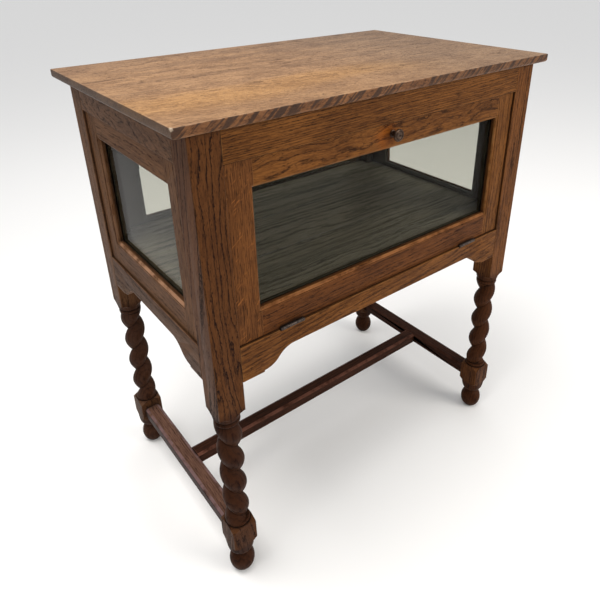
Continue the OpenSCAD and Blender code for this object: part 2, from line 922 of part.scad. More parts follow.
// Outline of the whole floor, notched round the posts
module floor_outline() {
    post = [inner_w / 2 - floor_gap, inner_d / 2 - floor_gap];
    translate([-floor_x, -post[1]])
        square([2 * floor_x, 2 * post[1]]);
    translate([-post[0], floor_front])
        square([2 * post[0], floor_back - floor_front]);
}

// A floor board: each has a tongue along its back edge that fits the next board's groove
module floor_board(index) {
    width = (floor_back - floor_front) / floor_boards;
    y0 = floor_front + index * width;
    g = tenon_gap;
    back_gap = index < floor_boards - 1 ? board_gap : 0;
    tongue_z = floor_low_z + floor_thick / 3;
    color("dimgray")
        difference() {
            union() {
                intersection() {
                    translate([0, 0, floor_low_z])
                        linear_extrude(floor_thick)
                            floor_outline();
                    span([-case_w, y0, 0], [case_w, y0 + width - back_gap, case_h]);
                }
                if (index < floor_boards - 1)
                    span([-floor_x, y0 + width - back_gap - bury, tongue_z],
                         [floor_x, y0 + width + tongue_joint, tongue_z + floor_thick / 3]);
            }
            if (index > 0)
                span([-case_w, y0 - 1, tongue_z - g],
                     [case_w, y0 + tongue_joint + g, tongue_z + floor_thick / 3 + g]);
        }
}

// Bearers: on the inside of each fixed frame, and one on the front apron
module floor_bearers() {
    low = floor_low_z - bearer_w;
    side_y = inner_d / 2 - 1;
    side_x = case_w / 2 - side_in;
    back_y = case_d / 2 - side_in;
    color("dimgray") {
        for (side = [0, 1])
            mirror([side, 0, 0])
                span([side_x - bearer_w, -side_y, low], [side_x, side_y, floor_low_z]);
        span([-inner_w / 2 + 1, back_y - bearer_w, low], [inner_w / 2 - 1, back_y, floor_low_z]);
        span([-inner_w / 2 + 1, floor_front, apron_top_z],
             [inner_w / 2 - 1, floor_front + bearer_w, floor_low_z]);
    }
}

// Blocks glued between the rails and the top
module glue_blocks() {
    back = rail_thick;
    color("burlywood") {
        for (angle = [0, 180])
            facing(angle)
                for (side = [-1, 1])
                    translate([side * block_x, 0, 0])
                        span([-block_l / 2, -case_d / 2 + back, top_z - block_s],
                             [block_l / 2, -case_d / 2 + back + block_s, top_z]);
        for (angle = [-90, 90])
            facing(angle)
                span([-block_l / 2, -case_w / 2 + back, top_z - block_s],
                     [block_l / 2, -case_w / 2 + back + block_s, top_z]);
    }
}

// ---------------------------------------------------------------- nodes

leg(-1, -1, -1, phase_front_left);  // leg_front_left
leg(1, -1, 1, phase_front_right);  // leg_front_right
leg(-1, 1, 1, phase_back_left);  // leg_back_left
leg(1, 1, -1, phase_back_right);  // leg_back_right
top_board(0);  // top_board_front
top_board(1);  // top_board_middle
top_board(2);  // top_board_back
top_rail_front();
color("saddlebrown") facing(180) top_rail(inner_w, half_d);  // top_rail_back
color("saddlebrown") facing(-90) top_rail(inner_d, half_w);  // top_rail_left
color("saddlebrown") facing(90) top_rail(inner_d, half_w);  // top_rail_right
apron_front();
color("chocolate") facing(180) apron_board(inner_w, half_d);  // apron_back
color("chocolate") facing(-90) apron_board(inner_d, half_w);  // apron_left
color("chocolate") facing(90) apron_board(inner_d, half_w);  // apron_right
end_stretcher(-1);  // stretcher_left
end_stretcher(1);  // stretcher_right
color("saddlebrown") stretcher_bar(2 * leg_x - stretcher_w, centre_tenon_l);  // stretcher_centre
color("chocolate") flap_place() frame_stile(flap_w, flap_low_z, flap_high_z, flap_top_w, -1);  // flap_stile_left
color("chocolate") flap_place() frame_stile(flap_w, flap_low_z, flap_high_z, flap_top_w, 1);  // flap_stile_right
flap_top_rail();
flap_bottom_rail();
color("lightgrey", 0.4) flap_place() frame_pane(flap_w, flap_low_z, flap_high_z, flap_top_w);  // flap_glass
color("chocolate") flap_place() frame_beads(flap_w, flap_low_z, flap_high_z, flap_top_w);  // flap_beads
fixed_stile(-90, half_w, inner_d, 1);  // left_stile_front
fixed_stile(-90, half_w, inner_d, -1);  // left_stile_back
fixed_rail(-90, half_w, inner_d, true);  // left_frame_top_rail
fixed_rail(-90, half_w, inner_d, false);  // left_frame_bottom_rail
fixed_pane(-90, half_w, inner_d);  // left_glass
fixed_beads(-90, half_w, inner_d);  // left_beads
fixed_stile(90, half_w, inner_d, -1);  // right_stile_front
fixed_stile(90, half_w, inner_d, 1);  // right_stile_back
fixed_rail(90, half_w, inner_d, true);  // right_frame_top_rail
fixed_rail(90, half_w, inner_d, false);  // right_frame_bottom_rail
fixed_pane(90, half_w, inner_d);  // right_glass
fixed_beads(90, half_w, inner_d);  // right_beads
fixed_stile(180, half_d, inner_w, 1);  // back_stile_left
fixed_stile(180, half_d, inner_w, -1);  // back_stile_right
fixed_rail(180, half_d, inner_w, true);  // back_frame_top_rail
fixed_rail(180, half_d, inner_w, false);  // back_frame_bottom_rail
fixed_pane(180, half_d, inner_w);  // back_glass
fixed_beads(180, half_d, inner_w);  // back_beads
hinge_leaf(-1, false);  // hinge_left_apron_leaf
hinge_leaf(-1, true);  // hinge_left_flap_leaf
hinge_leaf(1, false);  // hinge_right_apron_leaf
hinge_leaf(1, true);  // hinge_right_flap_leaf
hinge_pins();
hinge_screw_set(apron_top_z, false);  // hinge_apron_screws
hinge_screw_set(flap_low_z, true);  // hinge_flap_screws
knob();
latch_tongue();
latch_nut();
latch_keeper();
keeper_screws();
floor_board(0);  // floor_board_front
floor_board(1);  // floor_board_middle
floor_board(2);  // floor_board_back
floor_bearers();
glue_blocks();
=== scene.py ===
# %% [markdown]
# # A glazed oak display case on rope-twist legs
#
# The working model of the case comes from CAD: every timber, pane and hinge is there at its real size. This
# lesson gives it its looks. Some pieces are made again here, where age and handwork show: the turned legs,
# the top, the knob and the screws. The timbers keep the CAD's shape, with their arrises softened.
# Everything then gets a material built from nodes. All lengths are in metres, and the case stands on the
# ground with its glazed drop front towards -Y.

import json
from math import acos, cos, pi, radians, sin, sqrt, tau

import bmesh
import bpy
from mathutils import Matrix, Vector


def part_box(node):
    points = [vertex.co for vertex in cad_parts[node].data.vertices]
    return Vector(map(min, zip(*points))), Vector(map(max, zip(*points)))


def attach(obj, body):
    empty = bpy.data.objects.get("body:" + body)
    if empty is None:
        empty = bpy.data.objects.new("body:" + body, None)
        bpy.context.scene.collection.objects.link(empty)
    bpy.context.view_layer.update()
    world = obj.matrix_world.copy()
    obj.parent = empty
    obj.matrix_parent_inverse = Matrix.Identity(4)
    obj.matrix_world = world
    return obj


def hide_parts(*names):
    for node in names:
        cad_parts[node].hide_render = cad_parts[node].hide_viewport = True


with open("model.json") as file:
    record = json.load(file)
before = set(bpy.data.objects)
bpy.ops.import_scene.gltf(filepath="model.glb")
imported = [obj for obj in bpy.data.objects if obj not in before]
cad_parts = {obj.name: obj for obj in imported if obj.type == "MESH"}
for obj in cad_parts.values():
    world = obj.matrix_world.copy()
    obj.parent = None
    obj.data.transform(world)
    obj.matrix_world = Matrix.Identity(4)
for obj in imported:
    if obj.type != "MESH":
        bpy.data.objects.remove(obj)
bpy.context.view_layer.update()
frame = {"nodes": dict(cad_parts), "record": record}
MM = 0.001
BODY_OF = {node: body for body, nodes in frame["record"]["behaviour"]["bodies"].items() for node in nodes}

# %% [markdown]
# ## Camera
#
# We look down at the case from its front left corner, as a person standing in front of it does. The camera
# is placed by a heading, measured from +Y towards +X, and a downward tilt. The lens is a mild wide-angle,
# and a small shift moves the picture without turning the camera, as with a view camera.

# %% Camera
CAMERA_AT = Vector((-0.6327, -0.8309, 1.0374))
HEADING, TILT_DOWN, ROLL = 0.671, 0.459, -0.010
LENS, SHIFT_X, SHIFT_Y = 34.03, -0.0397, -0.1188

ahead = Vector((sin(HEADING) * cos(TILT_DOWN), cos(HEADING) * cos(TILT_DOWN), -sin(TILT_DOWN)))
level_right = Vector((cos(HEADING), -sin(HEADING), 0))
level_up = level_right.cross(ahead)
right = level_right * cos(ROLL) + level_up * sin(ROLL)
up = level_up * cos(ROLL) - level_right * sin(ROLL)

camera = bpy.data.objects.new("camera", bpy.data.cameras.new("camera"))
camera.matrix_world = Matrix.Translation(CAMERA_AT) @ Matrix((right, up, -ahead)).transposed().to_4x4()
camera.data.sensor_width = 36
camera.data.lens = LENS
camera.data.shift_x = SHIFT_X
camera.data.shift_y = SHIFT_Y
bpy.context.scene.collection.objects.link(camera)
bpy.context.scene.camera = camera
print("camera at", [round(v, 3) for v in CAMERA_AT])

# %% [markdown]
# ## Floor and light
#
# A pale floor and a bright sky stand in for a white studio. The floor is large enough to reach past the top
# of the picture. The sky is brighter overhead than at its rim, so that the top gets more light than the
# sides and polished wood seen at a slant doesn't turn milky. A large warm light from the front right brings
# out the front, and one overhead gives the top its sheen. We look at it with the plain Standard view, which
# shows a colour as it was mixed. The filmic views soften the contrast of dark wood against a white floor.

# %% Floor and light
FLOOR_SIZE = 60
FLOOR_WHITE = (0.90, 0.90, 0.90, 1)
SKY_RIM, SKY_TOP = (0.37, 0.37, 0.37, 1), (0.95, 0.95, 0.95, 1)

bpy.context.scene.view_settings.view_transform = "Standard"

floor_mesh = bpy.data.meshes.new("studio_floor")
floor_bm = bmesh.new()
bmesh.ops.create_grid(floor_bm, x_segments=1, y_segments=1, size=FLOOR_SIZE / 2)
floor_bm.to_mesh(floor_mesh)
floor_bm.free()
studio_floor = bpy.data.objects.new("studio_floor", floor_mesh)
bpy.context.scene.collection.objects.link(studio_floor)

floor_paint = bpy.data.materials.new("studio_floor")
floor_paint.use_nodes = True
floor_paint.node_tree.nodes["Principled BSDF"].inputs["Base Color"].default_value = FLOOR_WHITE
floor_paint.node_tree.nodes["Principled BSDF"].inputs["Roughness"].default_value = 0.8
floor_mesh.materials.append(floor_paint)

world = bpy.data.worlds.new("studio")
world.use_nodes = True
sky = world.node_tree
direction = sky.nodes.new("ShaderNodeTexCoord").outputs["Generated"]
height = sky.nodes.new("ShaderNodeSeparateXYZ")
sky.links.new(direction, height.inputs[0])
shade = sky.nodes.new("ShaderNodeMix")
shade.data_type = "RGBA"
shade.inputs[6].default_value, shade.inputs[7].default_value = SKY_RIM, SKY_TOP
sky.links.new(height.outputs["Z"], shade.inputs[0])
sky.links.new(shade.outputs[2], sky.nodes["Background"].inputs["Color"])
bpy.context.scene.world = world


def soft_light(name, place, target, size, power, color):
    """A square area light at place that looks at target."""
    data = bpy.data.lights.new(name, "AREA")
    data.size, data.energy, data.color = size, power, color
    light = bpy.data.objects.new(name, data)
    light.location = place
    light.rotation_euler = (Vector(target) - Vector(place)).to_track_quat("-Z", "Y").to_euler()
    bpy.context.scene.collection.objects.link(light)
    return light


soft_light("key", (1.5, -2.6, 1.7), (0, 0, 0.6), 1.6, 55, (1.0, 0.95, 0.88))
soft_light("overhead", (-0.75, 0.1, 2.5), (-0.2, 0, 0.8), 1.4, 42, (1.0, 0.97, 0.93))

# %% [markdown]
# ## Helpers for node trees
#
# A material or a node group is a tree of nodes, and a few short helpers keep it readable. They add a node
# and set its values, do sums, blend colours, scale a vector and read a noise. The last three start a
# material, make a group with named inputs and outputs, and put a group into a material.

# %% Node helpers
def add_node(tree, kind, inputs=None, **settings):
    """Adds a node, sets its settings, and links or sets its inputs by name or number."""
    node = tree.nodes.new("ShaderNode" + kind)
    for key, value in settings.items():
        setattr(node, key, value)
    for key, value in (inputs or {}).items():
        if isinstance(value, bpy.types.NodeSocket):
            tree.links.new(value, node.inputs[key])
        else:
            node.inputs[key].default_value = value
    return node


def calc(tree, operation, a, b=0.0, c=0.0, clamp=False):
    """The result socket of one Math node."""
    return add_node(tree, "Math", {0: a, 1: b, 2: c}, operation=operation, use_clamp=clamp).outputs[0]


def blend_colors(tree, factor, a, b, mode="MIX"):
    """The result socket of a Mix node on two colours."""
    node = add_node(tree, "Mix", {0: factor, 6: a, 7: b}, data_type="RGBA", blend_type=mode)
    return node.outputs[2]


def tinted(tree, share, color, tint):
    """color, multiplied by tint as far as share says."""
    return blend_colors(tree, share, color, blend_colors(tree, 1.0, color, tint, "MULTIPLY"))


def ramp_value(tree, value, low, high, to_low=0.0, to_high=1.0, smooth=True):
    """Maps value from low..high to to_low..to_high, held at both ends."""
    kind = "SMOOTHSTEP" if smooth else "LINEAR"
    inputs = {"Value": value, "From Min": low, "From Max": high, "To Min": to_low, "To Max": to_high}
    return add_node(tree, "MapRange", inputs, interpolation_type=kind).outputs[0]


def scaled_vector(tree, vector, scale):
    """The socket of vector times scale, axis by axis."""
    return add_node(tree, "VectorMath", {0: vector, 1: scale}, operation="MULTIPLY").outputs[0]


def noise(tree, vector, detail=2.0, roughness=0.5):
    """The value of a noise texture whose vector is already scaled."""
    inputs = {"Vector": vector, "Scale": 1.0, "Detail": detail, "Roughness": roughness}
    return add_node(tree, "TexNoise", inputs).outputs["Fac"]


print("sums, blends and noises are ready")

# %% Groups and materials
def new_material(name):
    """A material, with its tree and its Principled shader."""
    material = bpy.data.materials.new(name)
    material.use_nodes = True
    return material, material.node_tree, material.node_tree.nodes["Principled BSDF"]


def new_group(name, inputs, outputs):
    """A node group. inputs is a list of (kind, name, default) and outputs of (kind, name)."""
    tree = bpy.data.node_groups.new(name, "ShaderNodeTree")
    for kind, label, default in inputs:
        socket = tree.interface.new_socket(label, in_out="INPUT", socket_type="NodeSocket" + kind)
        if default is not None:
            socket.default_value = default
    for kind, label in outputs:
        tree.interface.new_socket(label, in_out="OUTPUT", socket_type="NodeSocket" + kind)
    return tree, tree.nodes.new("NodeGroupInput").outputs, tree.nodes.new("NodeGroupOutput").inputs


def place_group(tree, group, inputs):
    """Puts a node group into a material's tree."""
    return add_node(tree, "Group", inputs, node_tree=group)


print("groups so far:", len(bpy.data.node_groups))

# %% [markdown]
# ## Oak
#
# A tree grows in rings round its pith, so a board is a cut through a stack of nested tubes. The group below
# builds those tubes in space: X runs along the grain, and the pith is the line where Y and Z are zero. A
# face that meets the tubes at a slant shows the arched figure of flat-sawn oak, and one that cuts straight
# across them shows stripes. Each ring of oak starts with a band of open pores, which take the stain and
# turn dark. The rest of the ring is dense and paler. Fine dashes along the grain are single pores, and
# short pale flecks are the rays that a quarter-sawn face shows.
#
# A flat image of wood would be quicker, but it would repeat, and its arches wouldn't turn the corner of a
# board.

# %% Oak figure group
oak_figure, oak_in, oak_out = new_group(
    "Oak figure",
    [
        ("Vector", "Vector", None),
        ("Color", "Pale", (0.2, 0.1, 0.05, 1)),
        ("Color", "Deep", (0.1, 0.05, 0.02, 1)),
        ("Color", "Pore", (0.02, 0.01, 0.006, 1)),
        ("Float", "Ring width", 0.005),
        ("Float", "Waver", 0.006),
        ("Float", "Ring strength", 0.6),
        ("Float", "Flecks", 0.0),
        ("Float", "Swirl", 0.0),
        ("Float", "Lines", 0.0),
    ],
    [("Color", "Color"), ("Float", "Roughness"), ("Float", "Height")],
)
g = oak_figure
vector = oak_in["Vector"]
print("oak figure:", len(oak_in) - 1, "inputs")

# %% Grain and rings
# Slow wandering of the grain, and a slower and larger one that makes a swirl
slow = add_node(g, "TexNoise", {"Vector": scaled_vector(g, vector, (4, 14, 14)), "Scale": 1.0, "Detail": 2.0})
wander = add_node(g, "VectorMath", {0: slow.outputs["Color"], 1: (0.5, 0.5, 0.5)}, operation="SUBTRACT")
wander = add_node(g, "VectorMath", {0: wander.outputs[0], "Scale": oak_in["Waver"]}, operation="SCALE")
curl = add_node(g, "TexNoise", {"Vector": scaled_vector(g, vector, (13, 20, 20)), "Scale": 1.0, "Detail": 1.0})
curl = add_node(g, "VectorMath", {0: curl.outputs["Color"], 1: (0.5, 0.5, 0.5)}, operation="SUBTRACT")
curl = add_node(g, "VectorMath", {0: curl.outputs[0], "Scale": oak_in["Swirl"]}, operation="SCALE")
bent = add_node(g, "VectorMath", {0: vector, 1: wander.outputs[0]}, operation="ADD")
bent = add_node(g, "VectorMath", {0: bent.outputs[0], 1: curl.outputs[0]}, operation="ADD").outputs[0]

# Distance from the pith in ring widths, roughened so that the pore bands look torn and not drawn
across = scaled_vector(g, bent, (0, 1, 1))
distance = add_node(g, "VectorMath", {0: across}, operation="LENGTH").outputs["Value"]
torn = noise(g, scaled_vector(g, vector, (120, 480, 480)), 3.0, 0.65)
rings = calc(g, "DIVIDE", distance, oak_in["Ring width"])
uneven = noise(g, scaled_vector(g, across, (1, 70, 70)), 1.0)
rings = calc(g, "MULTIPLY_ADD", uneven, 2.2, rings)
rings = calc(g, "MULTIPLY_ADD", torn, 0.75, rings)
phase = calc(g, "FRACT", rings)
band_start = ramp_value(g, phase, 0.0, 0.05)
band_end = ramp_value(g, phase, 0.05, 0.42, 1.0, 0.0)
lively = noise(g, scaled_vector(g, bent, (9, 120, 120)), 2.0)
band = calc(g, "MULTIPLY", band_start, band_end)
band = calc(g, "MULTIPLY", band, ramp_value(g, lively, 0.32, 0.62, 0.35, 1.0))

# Where a band starts, its widest pores stand in a jagged row. Lines says how strongly the row shows
row = calc(g, "MULTIPLY", band_start, ramp_value(g, phase, 0.10, 0.21, 1.0, 0.0))
row = calc(g, "MULTIPLY", row, ramp_value(g, lively, 0.25, 0.50, 0.45, 1.0))
row = calc(g, "MULTIPLY", row, oak_in["Lines"])

print("grain and rings:", len(g.nodes), "nodes")

# %% Pores and rays
# Single pores: short dark dashes, thick in the band and thin elsewhere
dashes = noise(g, scaled_vector(g, bent, (75, 620, 620)), 4.0, 0.62)
limit = ramp_value(g, band, 0.0, 1.0, 0.57, 0.44, smooth=False)
pores = ramp_value(g, calc(g, "SUBTRACT", dashes, limit), 0.0, 0.10)
fibres = noise(g, scaled_vector(g, bent, (32, 380, 380)), 4.0, 0.75)
clouds = noise(g, scaled_vector(g, vector, (6, 24, 24)), 3.0, 0.6)

# Rays: thin pale lens shapes, aslant to the grain and kept to patches
aslant = add_node(g, "Mapping", {"Vector": bent, "Rotation": (0.0, radians(35), radians(35))}).outputs[0]
rays = noise(g, scaled_vector(g, aslant, (430, 60, 60)), 2.0, 0.5)
rays = ramp_value(g, rays, 0.60, 0.68)
patches = ramp_value(g, noise(g, scaled_vector(g, vector, (20, 55, 55)), 1.0), 0.42, 0.60)
rays = calc(g, "MULTIPLY", calc(g, "MULTIPLY", rays, patches), oak_in["Flecks"])
print("with pores and rays:", len(g.nodes), "nodes")

# %% The figure's colour, polish and relief
depth = calc(g, "MULTIPLY", band, calc(g, "MULTIPLY", oak_in["Ring strength"], 0.9))
depth = calc(g, "MULTIPLY_ADD", ramp_value(g, fibres, 0.34, 0.66), 0.75, depth)
depth = calc(g, "MULTIPLY_ADD", ramp_value(g, clouds, 0.33, 0.67), 0.45, depth)
depth = calc(g, "SUBTRACT", depth, 0.22, clamp=True)
color = blend_colors(g, depth, oak_in["Pale"], oak_in["Deep"])
dark_band = calc(g, "MULTIPLY", band, calc(g, "MULTIPLY", oak_in["Ring strength"], 0.55))
pore_share = calc(g, "MAXIMUM", calc(g, "MULTIPLY", pores, 0.75), dark_band)
pore_share = calc(g, "MAXIMUM", pore_share, calc(g, "MULTIPLY", row, 0.92))
color = blend_colors(g, pore_share, color, oak_in["Pore"])
ray_color = blend_colors(g, 1.0, oak_in["Pale"], (1.6, 1.5, 1.35, 1), "MULTIPLY")
color = blend_colors(g, calc(g, "MULTIPLY", rays, 0.65), color, ray_color)
g.links.new(color, oak_out["Color"])
g.links.new(calc(g, "MULTIPLY_ADD", pore_share, 0.22, calc(g, "MULTIPLY", fibres, 0.16)), oak_out["Roughness"])
height = calc(g, "MULTIPLY_ADD", pores, -1.0, calc(g, "MULTIPLY", band, -0.6))
g.links.new(calc(g, "MULTIPLY_ADD", fibres, 0.25, height), oak_out["Height"])
print("whole figure:", len(g.nodes), "nodes")

# %% [markdown]
# ## Age
#
# A century of handling does two things. Dirt and old polish gather where surfaces meet, and the sharp edges
# wear pale. The first group darkens the colour in corners, found by ambient occlusion, which asks how much
# of the space round a point is filled: it paints shade there along with the dirt. The second finds the
# softened arrises of a squared timber: there the normal points along no axis. It needs no extra geometry, and
# it stays put when the front swings. The third stains whatever faces the inside of the case dark, as its
# maker did to set off what stood in it, and paints in the shade that falls inside as well. It goes by place:
# any wood nearer the middle than the glass is inside.

# %% Corner grime and painted shade
grime_and_shade, grime_and_shade_in, grime_and_shade_out = new_group(
    "Corner grime and shade",
    [
        ("Color", "Color", (0.5, 0.5, 0.5, 1)),
        ("Color", "Dirt and shade", (0.012, 0.008, 0.006, 1)),
        ("Float", "Reach", 0.012),
        ("Float", "Amount", 0.8),
    ],
    [("Color", "Color"), ("Float", "Mask")],
)
# Painted shade, with dirt: the colour darkens where ambient occlusion finds corners and recesses.
shut_in = add_node(grime_and_shade, "AmbientOcclusion", {"Distance": grime_and_shade_in["Reach"]}, samples=6)
mask = ramp_value(grime_and_shade, shut_in.outputs["AO"], 0.35, 0.88, 1.0, 0.0)
mask = calc(grime_and_shade, "MULTIPLY", mask, grime_and_shade_in["Amount"], clamp=True)
grime_and_shade.links.new(blend_colors(grime_and_shade, mask, grime_and_shade_in["Color"], grime_and_shade_in["Dirt and shade"]), grime_and_shade_out["Color"])
grime_and_shade.links.new(mask, grime_and_shade_out["Mask"])
print("grime:", len(grime_and_shade.nodes), "nodes")

# %% Arris wear
wear, wear_in, wear_out = new_group(
    "Arris wear",
    [
        ("Color", "Color", (0.5, 0.5, 0.5, 1)),
        ("Color", "Worn", (0.3, 0.2, 0.1, 1)),
        ("Vector", "Vector", None),
        ("Vector", "Normal", None),
        ("Float", "Amount", 0.6),
    ],
    [("Color", "Color"), ("Float", "Mask")],
)
sides = add_node(wear, "VectorMath", {0: wear_in["Normal"]}, operation="ABSOLUTE").outputs[0]
sides = add_node(wear, "SeparateXYZ", {0: sides}).outputs
flattest = calc(wear, "MAXIMUM", calc(wear, "MAXIMUM", sides[0], sides[1]), sides[2])
slanted = ramp_value(wear, flattest, 0.95, 0.985, 1.0, 0.0)
rubbed = noise(wear, scaled_vector(wear, wear_in["Vector"], (35, 35, 35)), 4.0, 0.7)
rubbed = ramp_value(wear, rubbed, 0.30, 0.62)
mask = calc(wear, "MULTIPLY", calc(wear, "MULTIPLY", slanted, rubbed), wear_in["Amount"])
wear.links.new(blend_colors(wear, mask, wear_in["Color"], wear_in["Worn"]), wear_out["Color"])
wear.links.new(mask, wear_out["Mask"])
print("wear:", len(wear.nodes), "nodes")

# %% Dark inside
inside, inside_in, inside_out = new_group(
    "Dark inside",
    [
        ("Color", "Color", (0.5, 0.5, 0.5, 1)),
        ("Color", "Stain and shade", (0.036, 0.031, 0.026, 1)),
        ("Vector", "Vector", None),
        ("Vector", "Half size", (0.3412, 0.2072, 0.0)),
        ("Float", "From height", 0.44),
    ],
    [("Color", "Color")],
)
spot = add_node(inside, "SeparateXYZ", {0: inside_in["Vector"]}).outputs
half = add_node(inside, "SeparateXYZ", {0: inside_in["Half size"]}).outputs
# Stain and painted shade: wood inside the case is darkened, as little light reaches in.
mask = calc(inside, "LESS_THAN", calc(inside, "ABSOLUTE", spot[0]), half[0])
mask = calc(inside, "MULTIPLY", mask, calc(inside, "LESS_THAN", calc(inside, "ABSOLUTE", spot[1]), half[1]))
mask = calc(inside, "MULTIPLY", mask, calc(inside, "GREATER_THAN", spot[2], inside_in["From height"]))
stained_and_shaded = blend_colors(inside, 0.85, inside_in["Color"], inside_in["Stain and shade"])
inside.links.new(blend_colors(inside, mask, inside_in["Color"], stained_and_shaded), inside_out["Color"])
print("groups:", [t.name for t in bpy.data.node_groups])

# %% [markdown]
# ## Years on top
#
# The top has had the sun and the cloth. Near the front left the finish has worn to gold, and towards the
# back it has gone grey-brown in long streaks. Its front edge shows dark slanting strokes, some millimetres
# apart, where the pores meet the rounded edge. A knock has left a pale chip on the front left corner. The
# group lays these over the plain figure, by place and by normal.

# %% Fading
GOLD_LINE = -0.125  # the Y of the line along which the finish has worn to gold
GOLD_TINT, DULL_TINT = (1.12, 1.06, 0.84, 1), (0.70, 0.69, 0.72, 1)
SHADED_TINT, END_GRAIN_TINT = (0.84, 0.90, 1.02, 1), (0.50, 0.62, 0.80, 1)

fading, fading_in, fading_out = new_group(
    "Fading and strokes",
    [("Color", "Color", (0.5, 0.5, 0.5, 1)), ("Vector", "Vector", None), ("Vector", "Normal", None)],
    [("Color", "Color")],
)
spot = add_node(fading, "SeparateXYZ", {0: fading_in["Vector"]}).outputs
facing = add_node(fading, "SeparateXYZ", {0: fading_in["Normal"]}).outputs
drift = noise(fading, scaled_vector(fading, fading_in["Vector"], (5, 12, 12)), 3.0)
off_line = calc(fading, "ABSOLUTE", calc(fading, "SUBTRACT", spot[1], GOLD_LINE))
off_line = calc(fading, "MULTIPLY_ADD", drift, -0.16, calc(fading, "ADD", off_line, 0.08))
worn_gold = ramp_value(fading, off_line, 0.0, 0.085, 1.0, 0.0)
worn_gold = calc(fading, "MULTIPLY", worn_gold, ramp_value(fading, spot[0], -0.02, 0.22, 1.0, 0.0))
color = tinted(fading, worn_gold, fading_in["Color"], GOLD_TINT)
streaks = noise(fading, scaled_vector(fading, fading_in["Vector"], (3, 34, 34)), 4.0, 0.6)
dull = ramp_value(fading, calc(fading, "MULTIPLY_ADD", spot[1], 0.45, streaks), 0.44, 0.60)
color = tinted(fading, calc(fading, "MULTIPLY", dull, 0.6), color, DULL_TINT)
color = tinted(fading, ramp_value(fading, spot[0], -0.10, 0.25), color, SHADED_TINT)
color = tinted(fading, ramp_value(fading, facing[0], -0.75, -0.45, 1.0, 0.0), color, END_GRAIN_TINT)
print("fading:", len(fading.nodes), "nodes")

# %% Strokes and chip
STROKE_COLOR, STROKE_SLANT = (0.028, 0.014, 0.009, 1), -48
CHIP_COLOR, CHIP_REACH = (0.46, 0.37, 0.28, 1), (0.0055, 0.0080)

turn = (0.0, radians(STROKE_SLANT), 0.0)
slant = add_node(fading, "Mapping", {"Vector": fading_in["Vector"], "Rotation": turn}).outputs[0]
strokes = noise(fading, scaled_vector(fading, slant, (125, 0, 9)), 2.0, 0.65)
strokes = ramp_value(fading, strokes, 0.47, 0.56)
on_front = ramp_value(fading, facing[1], -0.55, -0.25, 1.0, 0.0)
strokes = calc(fading, "MULTIPLY", calc(fading, "MULTIPLY", strokes, on_front), 0.85)
color = blend_colors(fading, strokes, color, STROKE_COLOR)
top_low, top_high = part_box("top_board_front")
corner = (top_low.x, top_low.y, top_high.z)
to_corner = add_node(fading, "VectorMath", {0: fading_in["Vector"], 1: corner}, operation="DISTANCE")
ragged = noise(fading, scaled_vector(fading, fading_in["Vector"], (300, 300, 300)), 2.0)
to_corner = calc(fading, "MULTIPLY_ADD", ragged, 0.006, to_corner.outputs["Value"])
chip = ramp_value(fading, to_corner, *CHIP_REACH, 0.7, 0.0)
fading.links.new(blend_colors(fading, chip, color, CHIP_COLOR), fading_out["Color"])
print("with strokes and chip:", len(fading.nodes), "nodes")

# %% [markdown]
# ## A timber's own material
#
# Each timber was cut from a different place in a log, so each gets a material of its own. It says which way
# its grain runs, where the pith was, and how much the board leans away from the pith. The lean decides how
# long the arches are: a straight board shows stripes, and a leaning one shows arches.

# %% Tones of oak
TONES = {
    # The top tone is paler and less saturated than the other oak: partly painted light and sheen from above.
    "top": dict(pale=(0.335, 0.190, 0.092, 1), deep=(0.150, 0.074, 0.034, 1), pore=(0.055, 0.028, 0.015, 1)),
    "gold": dict(pale=(0.165, 0.062, 0.014, 1), deep=(0.062, 0.021, 0.005, 1), pore=(0.011, 0.005, 0.002, 1)),
    "brown": dict(pale=(0.138, 0.050, 0.013, 1), deep=(0.050, 0.017, 0.005, 1), pore=(0.009, 0.004, 0.002, 1)),
    # The post tone is the brown oak darkened: painted shade for the corner posts, which catch more light.
    "post": dict(pale=(0.092, 0.034, 0.010, 1), deep=(0.044, 0.015, 0.005, 1), pore=(0.006, 0.003, 0.002, 1)),
    # The grey tone is the left side's oak, made darker and greyer: painted shade and painted sheen.
    "grey": dict(pale=(0.125, 0.056, 0.023, 1), deep=(0.052, 0.022, 0.010, 1), pore=(0.010, 0.006, 0.004, 1)),
    "mopped": dict(pale=(0.135, 0.068, 0.046, 1), deep=(0.056, 0.027, 0.018, 1), pore=(0.012, 0.007, 0.005, 1)),
    "dark": dict(pale=(0.044, 0.015, 0.007, 1), deep=(0.018, 0.006, 0.003, 1), pore=(0.006, 0.003, 0.002, 1)),
    # The inside tone is dark stain with painted shade, for the beads and bearers inside the case.
    "inside": dict(pale=(0.062, 0.054, 0.038, 1), deep=(0.022, 0.019, 0.014, 1), pore=(0.008, 0.007, 0.005, 1)),
    "floor": dict(pale=(0.205, 0.186, 0.142, 1), deep=(0.098, 0.089, 0.067, 1), pore=(0.036, 0.032, 0.024, 1)),
    "pine": dict(pale=(0.30, 0.17, 0.08, 1), deep=(0.20, 0.10, 0.045, 1), pore=(0.10, 0.05, 0.025, 1)),
}
print("tones:", sorted(TONES))

# %% Oak material
WORN_TINT = (1.0, 1.2, 1.7, 1.0)
WARM_TINT, WARM_REACH = (1.26, 0.97, 0.60, 1), (0.022, 0.050)
ROPE_TINT, ROPE_FADE = (0.72, 0.64, 0.68, 1), 0.03
BLOCK_LEVEL, BLOCK_HALF = 0.104, (0.022, 0.030)  # the legs' square blocks, which take less of the dark stain
GRAIN_TURN = {"X": (0, 0, 0), "Y": (0, 0, -pi / 2), "Z": (0, pi / 2, 0)}
LOG_MIDDLE = {"X": 0.0, "Y": 0.0, "Z": 0.62}


